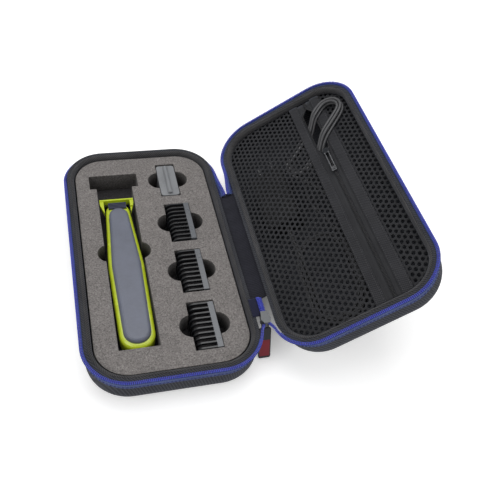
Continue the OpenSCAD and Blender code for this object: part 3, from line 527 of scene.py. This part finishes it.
binding_section = [(-2.45, 26.2), (-2.45, 30.4), (-2.7, 31.0), (-3.3, 31.25), (-4.1, 31.0),
                   (-4.9, 30.2), (-5.5, 29.2), (-5.85, 28.0), (-5.9, 26.9), (-5.7, 26.1),
                   (-5.0, 25.9), (-3.5, 25.9)]
binding_tape = cloth_finish("binding_tape", rgb(80, 79, 80), rgb(22, 22, 23),
                            (520, 520, 0), (-900, 900, 0), 0.00025, uv=True)
for tray, place in (("base", None), ("lid", LID)):
    band = carry(tray + "_rim_band", rim_line(0.003), binding_section, True, place)
    band.data.materials.append(binding_tape)
    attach(band, tray)
    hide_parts(tray + "_binding")


# ---- Zip tape ----
# Blue-grey woven tape sewn flat on the outside of each wall, under the zip, with two rows of
# dark blue stitches. Its upper edge turns out under the coil, and leans out beside the spine.
tape_section = [(0.05, 23.0), (0.85, 23.0), (0.95, 23.4), (0.95, 29.9), (1.3, 30.15),
                (2.8, 30.15), (2.95, 30.5), (2.9, 30.95), (0.1, 30.95)]
zip_tape_cloth = cloth_finish("zip_tape_cloth", rgb(84, 104, 160), rgb(28, 36, 92),
                              (0, 1500, 0), (900, 0, 0), 0.00012, uv=True)


def stitch_row(name, line, out, height, pitch, place, long=1.9, thick=0.32, sway=None):
    """Small rounded stitches along a line."""
    points, faces = [], []
    far = 0.0
    due = pitch / 2
    for (a, oa), (b, ob) in zip(line, line[1:]):
        gap = (b - a).length
        while due < far + gap:
            t = (due - far) / gap
            p = a.lerp(b, t)
            o = oa.lerp(ob, t).normalized()
            d = Vector((-o.y, o.x))
            wide, level = sway(p, out, height) if sway else (out, height)
            first = len(points)
            for s, r in ((-long / 2, 0.12), (-long / 3, 1.0), (long / 3, 1.0), (long / 2, 0.12)):
                for q in range(6):
                    t6 = math.radians(60 * q)
                    side = wide + thick * r * math.cos(t6)
                    up = level + thick * r * math.sin(t6)
                    flat = p + o * side / 1000 + d * s / 1000
                    points.append((flat.x, flat.y, up / 1000))
            for k in range(3):
                for q in range(6):
                    faces.append((first + 6 * k + q, first + 6 * k + (q + 1) % 6,
                                  first + 6 * k + 6 + (q + 1) % 6, first + 6 * k + 6 + q))
            faces.append(tuple(first + q for q in range(6)))
            faces.append(tuple(first + 18 + q for q in range(6)))
            due += pitch
        far += gap
    return mesh_piece(name, points, faces, place)


ZIP_START, ZIP_CORNER = 0.052, 343
ROW_LEAN, ROW_DROOP = 2.9, 5.0


def zip_line(step, mirror, to_slider=True):
    """The line of one zip row: from the spine's far end round the rim, and on to the slider."""
    line = rim_line(step, ZIP_START, ZIP_CORNER)
    if to_slider:
        line += [(Vector((x / 1000, y / 1000)), Vector(o)) for x, y, o in (
            (62.95, -95.7, (0.97, -0.24)), (63.2, -94.9, (0.985, -0.17)),
            (63.6, -93.6, (1, 0)), (64.0, -92.6, (1, 0)), (64.5, -91.5, (1, 0)),
            (65.1, -90.4, (1, 0)), (65.7, -89.2, (1, 0)), (66.3, -87.8, (1, 0)))]
    if mirror:
        line = [(Vector((-p.x, p.y)), Vector((-o.x, o.y))) for p, o in line]
    return line


def ease(share):
    share = max(0.0, min(1.0, share))
    return share * share * (3 - 2 * share)


def row_sway(mirror):
    """Beside the spine's far end the two rows lean out to meet each other, and the base's row
    droops behind its rim at the far end."""
    def sway(p, x, z):
        y = p.y * 1000
        hinge_side = abs(p.x) > HALF_W - 0.0005 and (p.x < 0) == mirror
        lean = ease((79 - y) / 27) if hinge_side and y > 0 else 0.0
        droop = 0.0 if mirror else ROW_DROOP * ease((y - 72) / 28)
        return x + ROW_LEAN * lean * max(0.0, min(1.0, (z - 29.5) / 1.2)), z - droop
    return sway


thread_blue = moulded_finish("thread_blue", rgb(26, 30, 104), 0.6, 5000.0, 0.00008, sheen=0.2)
for tray, place, mirror in (("base", None, False), ("lid", LID, True)):
    sway = row_sway(mirror)
    tape = carry(tray + "_tape", zip_line(0.003, mirror, False), tape_section, False, place, sway)
    tape.data.materials.append(zip_tape_cloth)
    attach(tape, tray)
    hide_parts(tray + "_zip_tape")
    for row, height in (("low", 24.3), ("high", 28.9)):
        seam = stitch_row(tray + "_seam_" + row, zip_line(0.003, mirror, False), 1.0, height,
                          0.0028, place, sway=sway)
        seam.data.materials.append(thread_blue)
        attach(seam, tray)


# ---- Zip coil ----
# One long nylon wire, wound to a flat spiral and sewn on the tape's edge: each turn shows as
# a tooth with a rounded head. It is dyed a strong blue.
def tooth_form(wide, high, thick):
    """One turn of the coil, in mm: across the row, along it and up."""
    rings = []
    for x, grow in ((-wide / 2, 0.55), (-wide / 4, 0.85), (wide / 6, 0.8), (wide / 2.6, 1.0),
                    (wide / 2, 0.6)):
        rings.append([(x, thick / 2 * grow * math.cos(math.radians(60 * q + 30)),
                       high / 2 * grow * math.sin(math.radians(60 * q + 30)))
                      for q in range(6)])
    return rings


def tooth_row(name, line, pitch, centre, height, form, slant, place, flip=1, sway=None):
    """A row of coil turns along a line; centre is how far out, in mm."""
    points, faces = [], []
    far, due = 0.0, pitch / 2
    for (a, oa), (b, ob) in zip(line, line[1:]):
        gap = (b - a).length
        while due < far + gap:
            t = (due - far) / gap
            p = a.lerp(b, t)
            o = oa.lerp(ob, t).normalized()
            d = Vector((-o.y, o.x))
            reach, level = sway(p, centre, height) if sway else (centre, height)
            first = len(points)
            for ring in form:
                for x, y, z in ring:
                    flat = p + o * (reach + flip * x) / 1000 + d * (y + slant * x) / 1000
                    points.append((flat.x, flat.y, (level + z) / 1000))
            for k in range(len(form) - 1):
                for q in range(6):
                    faces.append((first + 6 * k + q, first + 6 * k + (q + 1) % 6,
                                  first + 6 * k + 6 + (q + 1) % 6, first + 6 * k + 6 + q))
            faces.append(tuple(first + q for q in range(6)))
            faces.append(tuple(first + 6 * (len(form) - 1) + q for q in range(6)))
            due += pitch
        far += gap
    piece = mesh_piece(name, points, faces, place)
    piece.data.shade_smooth()
    return piece


coil_nylon = moulded_finish("coil_nylon", rgb(62, 74, 196), 0.3, 2400.0, 0.00004,
                            specular=0.6, coat=0.25, coat_rough=0.25)
TURN_PITCH = 0.0013
coil_form = tooth_form(2.3, 1.7, 1.0)
for tray, place, mirror in (("base", None, False), ("lid", LID, True)):
    line = zip_line(0.002, mirror)
    sway = row_sway(mirror)
    row = tooth_row(tray + "_coil", line, TURN_PITCH, 1.75, 31.9, coil_form, 0.12, place, sway=sway)
    row.data.materials.append(coil_nylon)
    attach(row, tray)
    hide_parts(tray + "_zip_coil")
    core = carry(tray + "_coil_core", line,
                 [(1.0, 31.4), (1.0, 32.2), (1.5, 32.5), (2.1, 32.4), (2.3, 31.6), (1.6, 31.1)],
                 False, place, sway)
    core.data.materials.append(thread_blue)
    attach(core, tray)


# ---- Spine ----
# The soft hinge: a strip of navy ribbed cloth, glued to both backs and hanging slack between
# them. Its two rows of stitches down each side are not drawn.
SPINE_SEAT = 5.5
SPINE_SAG, SPINE_STEPS = 3.5, 14


def spine_section():
    """The cloth's middle line across the hinge, in mm from the hinge line."""
    base_side = [(-SPINE_SEAT, -9 + 7 * s / 3) for s in range(4)]
    lid_side = [(-x * math.cos(TILT) - z * math.sin(TILT), -x * math.sin(TILT)
                 + z * math.cos(TILT)) for x, z in base_side]
    a, b = Vector(base_side[2]), Vector(lid_side[2])
    mid = (a + b) / 2 + SPINE_SAG * Vector((math.sin(TILT / 2), -math.cos(TILT / 2)))
    bend = [(1 - s) ** 2 * a + 2 * s * (1 - s) * mid + s * s * b
            for s in (i / SPINE_STEPS for i in range(SPINE_STEPS + 1))]
    return [Vector(p) for p in base_side[:2]] + bend + [Vector(p) for p in lid_side[1::-1]]


spine_line = spine_section()
points, faces = [], []
spine_rows = 60
SPINE_LOW, SPINE_HIGH = -62.5, 56.0
SPINE_THICK = 0.84
for i in range(spine_rows):
    y = SPINE_LOW + (SPINE_HIGH - SPINE_LOW) * i / (spine_rows - 1)
    for k, p in enumerate(spine_line):
        slack = math.sin(math.pi * k / (len(spine_line) - 1))
        wave = 0.22 * slack * math.sin(y * 0.55 + 0.7 * math.sin(y * 0.13))
        points.append(((HINGE_X + p.x) / 1000, y / 1000,
                       (HINGE_Z + p.y + SPINE_THICK / 2 + wave) / 1000))
many = len(spine_line)
for i in range(spine_rows - 1):
    for k in range(many - 1):
        faces.append((i * many + k, i * many + k + 1, (i + 1) * many + k + 1, (i + 1) * many + k))
spine = mesh_piece("spine_cloth", points, faces)
shape(spine, SOLIDIFY={"thickness": 0.00085, "offset": -1.0},
      SUBSURF={"levels": 1, "render_levels": 1})
spine.data.shade_smooth()
spine_weave = cloth_finish("spine_weave", rgb(40, 40, 50), rgb(14, 14, 20), (0, 620, 0),
                           (900, 0, 600), 0.00025)
spine.data.materials.append(spine_weave)
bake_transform(spine)
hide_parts("spine_hinge")


# ---- Closed end of the zip, slider and pull ----
# Beside the spine the two rows are still locked together. A painted cast slider sits where
# they part, and a rubber tab with a dark red inset hangs from it on a small steel pin.
closed_form = tooth_form(2.4, 1.3, 0.95)
for side, flip in (("base", 1), ("lid", -1)):
    # The lid's turns lie half a pitch on, between the base's turns.
    low = -0.0795 + (TURN_PITCH / 2 if flip < 0 else 0)
    line = [(Vector((HINGE_X / 1000, y)), Vector((1, 0))) for y in (low, -0.0629)]
    row = tooth_row("closed_coil_" + side, line, TURN_PITCH, -1.05 * flip, 32.7, closed_form,
                    0.1, None, flip)
    row.data.materials.append(coil_nylon)
    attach(row, "base")
    if flip > 0:
        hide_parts("zip_chain")
bpy.ops.object.select_all(action="DESELECT")
bpy.ops.mesh.primitive_grid_add(x_subdivisions=14, y_subdivisions=20, size=1)
web = bpy.context.object
web.name = "closed_zip_web"
web_wide, web_long = 0.0103, 0.0168
web.data.transform(Matrix.Translation((0.06695, -0.0712, 0.03178))
                   @ Matrix.Diagonal((web_wide, web_long, 1, 1)))
for v in web.data.vertices:
    v.co.z -= 0.00016 * (1 + math.cos((v.co.x - HINGE_X / 1000) * 900))
shape(web, SOLIDIFY={"thickness": 0.00045, "offset": -1.0})
web.data.shade_smooth()
# The web under the closed rows is the zip tape, given dark navy instead of its blue-grey: painted
# shade of the narrow slot beside the spine.
web_painted_shade = cloth_finish("web_painted_shade", rgb(30, 32, 60), rgb(12, 13, 30), (0, 1500, 0),
                         (1100, 0, 0), 0.00012)
web.data.materials.append(web_painted_shade)
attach(web, "base")
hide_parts("zip_chain_web")

slider_paint = moulded_finish("slider_paint", rgb(96, 98, 100), 0.38, 900.0, 0.00006,
                              metallic=0.55, specular=0.6)
dress("zip_slider", slider_paint)
pull_rubber = moulded_finish("pull_rubber", rgb(56, 57, 61), 0.55, 1500.0, 0.00006)
dress("pull_tab", pull_rubber)
pull_red = moulded_finish("pull_red", rgb(150, 36, 52), 0.5, 1200.0, 0.00008)
dress("pull_panel", pull_red)


# ---- Foam insert ----
# One block of speckled grey foam, die-cut right through: the cuts' edges are slightly rounded
# by the knife. It drops into the tray with a dark gap all round.
def soft_copy(node, name, round_by):
    """A copy of a CAD node with its edges rounded, for a piece that takes its place."""
    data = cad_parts[node].data.copy()
    data.materials.clear()
    form = bmesh.new()
    form.from_mesh(data)
    bmesh.ops.remove_doubles(form, verts=form.verts, dist=0.000002)
    bmesh.ops.dissolve_limit(form, angle_limit=math.radians(1), verts=form.verts,
                             edges=form.edges)
    form.to_mesh(data)
    form.free()
    piece = bpy.data.objects.new(name, data)
    bpy.context.collection.objects.link(piece)
    shape(piece, BEVEL={"width": round_by, "segments": 2, "limit_method": "ANGLE",
                        "angle_limit": math.radians(35), "use_clamp_overlap": True})
    bpy.ops.object.shade_smooth_by_angle(angle=math.radians(40))
    return piece


foam_cells, gin, gout = effect("foam_cells", [("Place", "Vector"), ("Light", "Color"),
                                              ("Middle", "Color"), ("Dark", "Color")],
                               [("Colour", "Color"), ("Height", "Float")])
coarse = noise(foam_cells, gin["Place"], 950.0, 2.0, 0.6)
small = noise(foam_cells, gin["Place"], 2100.0, 2.0, 0.6)
mottle = noise(foam_cells, gin["Place"], 60.0, 3.0, 0.6)
pores = put(foam_cells, "ShaderNodeTexVoronoi", {"Vector": gin["Place"], "Scale": 900.0})
grains = sums(foam_cells, "ADD", sums(foam_cells, "MULTIPLY", coarse, 0.6),
              sums(foam_cells, "MULTIPLY", small, 0.4))
pale = spread(foam_cells, grains, 0.50, 0.66)
deep = spread(foam_cells, grains, 0.49, 0.36)
tone = blend_colour(foam_cells, pale, gin["Middle"], gin["Light"])
tone = blend_colour(foam_cells, deep, tone, gin["Dark"])
dull = spread(foam_cells, mottle, 0.3, 0.7, 0.93, 1.06)
dull = put(foam_cells, "ShaderNodeCombineColor", {0: dull, 1: dull, 2: dull}).outputs[0]
foam_cells.links.new(blend_colour(foam_cells, 1.0, tone, dull, "MULTIPLY"),
                     gout.inputs["Colour"])
foam_cells.links.new(sums(foam_cells, "ADD", grains, sums(
    foam_cells, "MULTIPLY", pores.outputs["Distance"], 0.5)), gout.inputs["Height"])


def foam_finish(name, light, middle, dark, depth, wall_shade):
    """Speckled foam; its steep cut walls keep only a share of the light colour, as painted shade of
    the recesses.
    """
    made, tree, shader, place = finish(name, specular=0.15, sheen=0.1)
    shader.inputs["Roughness"].default_value = 0.95
    fx = put(tree, "ShaderNodeGroup", {}, node_tree=foam_cells)
    tree.links.new(place, fx.inputs["Place"])
    fx.inputs["Light"].default_value = light
    fx.inputs["Middle"].default_value = middle
    fx.inputs["Dark"].default_value = dark
    # Painted shade: the steeper the face, the darker its colour, down to the given share on upright
    # walls.
    painted_wall_shade = put(tree, "ShaderNodeSeparateXYZ",
              {0: put(tree, "ShaderNodeNewGeometry").outputs["True Normal"]}).outputs[2]
    painted_wall_shade = spread(tree, painted_wall_shade, 0.3, 0.8, wall_shade, 1.0)
    painted_wall_shade = put(tree, "ShaderNodeCombineColor", {0: painted_wall_shade, 1: painted_wall_shade, 2: painted_wall_shade}).outputs[0]
    tree.links.new(blend_colour(tree, 1.0, fx.outputs["Colour"], painted_wall_shade, "MULTIPLY"),
                   shader.inputs["Base Color"])
    raise_by(tree, shader, fx.outputs["Height"], depth)
    return made


insert = soft_copy("foam_insert", "foam_block", 0.0006)
grey_foam = foam_finish("grey_foam", rgb(148, 144, 142), rgb(118, 114, 112), rgb(88, 85, 84),
                        0.0003, 0.42)
insert.data.materials.append(grey_foam)
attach(insert, "base")
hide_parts("foam_insert")

pad = soft_copy("foam_pad", "recess_pad", 0.0012)
dark_foam = foam_finish("dark_foam", rgb(66, 64, 66), rgb(50, 48, 50), rgb(36, 34, 36),
                        0.0003, 0.6)
pad.data.materials.append(dark_foam)
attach(pad, "base")
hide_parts("foam_pad")


# ---- Trimmer ----
# A slim cordless trimmer, lying on its front: a glossy lime housing, a satin grey cover down
# its back, a ridged navy neck, and a lime frame across the blade.
lime_gloss = moulded_finish("lime_gloss", rgb(186, 202, 40), 0.26, 500.0, 0.00002, coat=0.4,
                            coat_rough=0.08)
cover_satin = moulded_finish("cover_satin", rgb(99, 103, 116), 0.4, 2600.0, 0.00003)
grip_black = moulded_finish("grip_black", rgb(38, 40, 44), 0.62, 1300.0, 0.00008)
neck_navy = moulded_finish("neck_navy", rgb(36, 41, 62), 0.42, 1800.0, 0.00003)
lens_white = moulded_finish("lens_white", rgb(216, 232, 208), 0.2, 800.0, 0.00001, coat=0.5)
blade_steel = moulded_finish("blade_steel", rgb(196, 199, 204), 0.24, 1500.0, 0.00002,
                             metallic=1.0)
for node in ("trimmer_body", "trimmer_button", "blade_frame", "blade_latch"):
    dress(node, lime_gloss)
dress("trimmer_cover", cover_satin)
dress("trimmer_grip", grip_black)
dress("trimmer_neck", neck_navy)
dress("charge_light", lens_white)
for node in ("blade_guard", "blade_cutter", "drive_pin"):
    dress(node, blade_steel)
socket_metal = moulded_finish("socket_metal", rgb(52, 54, 58), 0.35, 1200.0, 0.00003,
                              metallic=0.7)
dress("charge_socket", socket_metal)

# Inside it: a battery in a shrunk sleeve, a small motor, and a green circuit board.
battery_sleeve = moulded_finish("battery_sleeve", rgb(58, 110, 168), 0.3, 700.0, 0.00003,
                                coat=0.3)
dress("battery", battery_sleeve)
motor_can = moulded_finish("motor_can", rgb(168, 170, 174), 0.3, 1900.0, 0.00003, metallic=1.0)
dress("motor", motor_can)
board_green = moulded_finish("board_green", rgb(44, 106, 60), 0.35, 900.0, 0.00004, coat=0.2)
dress("circuit_board", board_green)


# ---- Combs and blade cap ----
# Three moulded hair combs of glossy near-black plastic, with a grey frame on their tall side,
# and a grey cap that slides over the blade.
comb_black, comb_tree, comb_shader, comb_place = finish("comb_black", specular=0.55, coat=0.2)
comb_fx = put(comb_tree, "ShaderNodeGroup", {}, node_tree=moulded)
comb_tree.links.new(comb_place, comb_fx.inputs["Place"])
comb_fx.inputs["Grain"].default_value = 1500.0
comb_fx.inputs["Rough"].default_value = 0.3
comb_x = put(comb_tree, "ShaderNodeSeparateXYZ", {0: comb_place}).outputs[0]
on_frame = spread(comb_tree, comb_x, 0.03105, 0.03115)
comb_tree.links.new(blend_colour(comb_tree, on_frame, rgb(26, 27, 30), rgb(92, 95, 100)),
                    comb_fx.inputs["Colour"])
comb_tree.links.new(comb_fx.outputs["Colour"], comb_shader.inputs["Base Color"])
comb_tree.links.new(comb_fx.outputs["Rough"], comb_shader.inputs["Roughness"])
raise_by(comb_tree, comb_shader, comb_fx.outputs["Height"], 0.00003)
for node in ("comb_short", "comb_medium", "comb_long"):
    dress(node, comb_black)
cap_grey = moulded_finish("cap_grey", rgb(126, 128, 131), 0.36, 1700.0, 0.00003)
dress("blade_cap", cap_grey)


# ---- Pocket net ----
# Black knitted net, stretched over the lid and sewn in under the binding. Long gaps stand in
# staggered columns. It bulges over the charger and sags beside it.
COLUMN, GAP = 3.8, 5.3
NET_X, NET_Y, NET_CORNER_R, NET_REACH = 60.2, 115.2, 28.2, 30
ARC_X, ARC_Y = CORNER_X * 1000, CORNER_Y * 1000


def net_piece(name, x0, x1):
    """The net's upper face with its gaps, in the lid tray's axes, then given its thickness."""
    hole = [(1.5, 0.0), (0.98, 1.45), (0.0, 1.75), (-0.98, 1.45), (-1.5, 0.0),
            (-0.98, -1.45), (0.0, -1.75), (0.98, -1.45)]
    rim = [(COLUMN / 2, 0.0), (COLUMN / 2, GAP / 2), (0.0, GAP / 2), (-COLUMN / 2, GAP / 2),
           (-COLUMN / 2, 0.0), (-COLUMN / 2, -GAP / 2), (0.0, -GAP / 2), (COLUMN / 2, -GAP / 2)]
    columns = math.ceil((x1 - x0) / COLUMN)
    points, faces = [], []
    for c in range(columns):
        x = (x0 + x1) / 2 + (c - (columns - 1) / 2) * COLUMN
        for r in range(-22, 23):
            y = r * GAP + (GAP / 2 if c % 2 else 0)
            deep_x, deep_y = abs(x) - ARC_X, abs(y) - ARC_Y
            if math.hypot(max(0, deep_x), max(0, deep_y)) > NET_REACH:
                continue
            first = len(points)
            for share, lift in ((0.0, 0.0), (0.62, 0.18), (1.0, 0.02)):
                for (ax, ay), (bx, by) in zip(rim, hole):
                    points.append([x + ax + (bx - ax) * share, y + ay + (by - ay) * share,
                                   25.6 + lift])
            for ring in (0, 1):
                for k in range(8):
                    a, b = first + 8 * ring + k, first + 8 * ring + (k + 1) % 8
                    faces.append((a, b, b + 8, a + 8))
    for p in points:
        p[0] = max(x0, min(x1, p[0]))
        dx, dy = abs(p[0]) - ARC_X, abs(p[1]) - ARC_Y
        if dx > 0 and dy > 0 and math.hypot(dx, dy) > NET_CORNER_R:
            pull = NET_CORNER_R / math.hypot(dx, dy)
            p[0] = math.copysign(ARC_X + dx * pull, p[0])
            p[1] = math.copysign(ARC_Y + dy * pull, p[1])
        p[0] = max(-NET_X, min(NET_X, p[0]))
        p[1] = max(-NET_Y, min(NET_Y, p[1]))
        over = math.exp(-((p[0] + 33) / 15) ** 2 - ((p[1] - 34) / 34) ** 2)
        low = math.exp(-((p[0] + 28) / 20) ** 2 - ((p[1] + 60) / 40) ** 2)
        p[2] += 1.5 * over - 0.9 * low
    data = bpy.data.meshes.new(name)
    data.from_pydata([(a / 1000, b / 1000, c / 1000) for a, b, c in points], [], faces)
    data.transform(LID)
    form = bmesh.new()
    form.from_mesh(data)
    bmesh.ops.remove_doubles(form, verts=form.verts, dist=0.00002)
    bmesh.ops.dissolve_degenerate(form, edges=form.edges, dist=0.00001)
    bmesh.ops.recalc_face_normals(form, faces=form.faces)
    form.to_mesh(data)
    form.free()
    face_up(data)
    piece = bpy.data.objects.new(name, data)
    bpy.context.collection.objects.link(piece)
    shape(piece, SOLIDIFY={"thickness": 0.00045, "offset": -1.0})
    piece.data.shade_smooth()
    return piece


net_knit = cloth_finish("net_knit", rgb(52, 52, 54), rgb(20, 20, 22), LID_OUT * 1500,
                        (0, 1500, 0), 0.00012)
for name, x0, x1, node in (("net_wide", -60.5, 12.4, "pocket_mesh_wide"),
                           ("net_narrow", 33.5, 60.5, "pocket_mesh_narrow")):
    net = net_piece(name, x0, x1)
    net.data.materials.append(net_knit)
    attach(net, "lid")
    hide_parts(node)


# ---- Pocket webbing ----
# Two flat black straps sewn down over the net's edges, each with a row of stitches along both
# sides.
def strap(name, x0, x1):
    """A flat strap with soft edges and shallow ribs along it, cut to the rim's curve."""
    count, rows = 20, 76
    curve_r = 26
    points, faces = [], []
    xs = [x0 + (x1 - x0) * k / count for k in range(count + 1)]
    for i in range(rows + 1):
        for k, x in enumerate(xs):
            end = ARC_Y + math.sqrt(curve_r ** 2 - max(0, abs(x) - ARC_X) ** 2)
            y = -end + 2 * end * i / rows
            edge = min(k, count - k)
            z = 26.75 if edge > 1 else 26.5 + 0.12 * edge
            z += 0.07 * math.cos(math.pi * k) + 0.05 * math.sin(y * 0.35 + x)
            points.append((x / 1000, y / 1000, z / 1000))
    for i in range(rows):
        for k in range(count):
            a = i * (count + 1) + k
            faces.append((a, a + 1, a + count + 2, a + count + 1))
    piece = mesh_piece(name, points, faces, LID)
    face_up(piece.data)
    shape(piece, SOLIDIFY={"thickness": 0.0006, "offset": -1.0})
    piece.data.shade_smooth()
    return piece


webbing_weave = cloth_finish("webbing_weave", rgb(56, 56, 59), rgb(24, 24, 26),
                             Vector((0, 500, 0)) + LID_OUT * 500,
                             Vector((0, 500, 0)) - LID_OUT * 500, 0.00018)
thread_dark = moulded_finish("thread_dark", rgb(52, 52, 55), 0.6, 5000.0, 0.00006)
for name, x0, x1, node in (("webbing_inner", 9.05, 16.75, "pocket_webbing_inner"),
                           ("webbing_outer", 29.55, 38.25, "pocket_webbing_outer")):
    band = strap(name, x0, x1)
    band.data.materials.append(webbing_weave)
    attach(band, "lid")
    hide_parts(node)
    for side, x in (("a", x0 + 1.1), ("b", x1 - 1.1)):
        line = [(Vector((x / 1000, y / 1000)), Vector((1, 0))) for y in (-110, 110)]
        seam = stitch_row(name + "_seam_" + side, line, 0.0, 26.8, 0.0026, LID, 1.7, 0.26)
        seam.data.materials.append(thread_dark)
        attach(seam, "lid")


# ---- Pocket zip ----
# A fine black coil zip between the straps, half open. Its two tapes have a raised cord near
# their edges, and a small dark slider carries a long bent wire as its pull.
OPEN_FROM, OPEN_TO, OPEN_FAST = 44, 104, 2.8


def opened(y):
    """How far the pocket zip stands open at a place along it, from 0 to 1."""
    if y <= OPEN_FROM or y >= OPEN_TO:
        return 0.0
    return min(1.0, OPEN_FAST * math.sin(math.pi * (y - OPEN_FROM) / (OPEN_TO - OPEN_FROM)))


zip_ys = [-112.5 + 3 * i for i in range(52)] + [43 + 1.0 * i for i in range(62)] + [108, 112.5]
tape_weave = cloth_finish("pocket_tape_weave", rgb(54, 54, 56), rgb(24, 24, 26), (0, 1400, 0),
                          LID_OUT * 1400, 0.00010)
pocket_nylon = moulded_finish("pocket_nylon", rgb(40, 40, 43), 0.32, 2400.0, 0.00003,
                              specular=0.6)
for side, sign, seam_x, move in (("inner", -1, 12.5, OPEN_IN), ("outer", 1, 33.4, OPEN_OUT)):
    points, faces = [], []
    across = [0.0, 0.3, 0.55, 0.68, 0.74, 0.80, 0.86, 0.94, 1.0]
    for y in zip_ys:
        edge = POCKET_ZIP_X + sign * (1.35 + move * opened(y))
        for t in across:
            ridge = 0.35 if 0.70 < t < 0.84 else 0.0
            points.append(((seam_x + (edge - seam_x) * t) / 1000, y / 1000,
                           (25.75 + ridge + 0.25 * opened(y) * t) / 1000))
    many = len(across)
    for i in range(len(zip_ys) - 1):
        for k in range(many - 1):
            a = i * many + k
            faces.append((a, a + 1, a + many + 1, a + many))
    tape = mesh_piece("pocket_tape_" + side + "_cloth", points, faces, LID)
    face_up(tape.data)
    shape(tape, SOLIDIFY={"thickness": 0.0005, "offset": -1.0})
    tape.data.shade_smooth()
    tape.data.materials.append(tape_weave)
    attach(tape, "lid")
    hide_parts("pocket_tape_" + side)
    line = [(Vector(((POCKET_ZIP_X + sign * (0.62 + move * opened(y))) / 1000, y / 1000)),
             Vector((sign, 0))) for y in zip_ys]
    row = tooth_row("pocket_coil_" + side, line, 0.0012, 0.0, 26.0,
                    tooth_form(1.35, 1.0, 0.9), 0.1, LID, -1)
    row.data.materials.append(pocket_nylon)
    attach(row, "lid")
    if sign < 0:
        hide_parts("pocket_zip_coil")
slider_dark = moulded_finish("slider_dark", rgb(60, 62, 66), 0.3, 900.0, 0.00004, metallic=0.8)
dress("pocket_slider", slider_dark)
wire_steel = moulded_finish("wire_steel", rgb(128, 129, 132), 0.26, 900.0, 0.00002, metallic=1.0)
dress("pocket_pull", wire_steel)


# ---- Charger ----
# A small black plug-in charger under the net, with two flat pins.
charger_black = moulded_finish("charger_black", rgb(32, 32, 34), 0.4, 1900.0, 0.00004)
dress("charger", charger_black)
pin_steel = moulded_finish("pin_steel", rgb(186, 186, 188), 0.22, 1500.0, 0.00002, metallic=1.0)
dress("charger_pins", pin_steel)
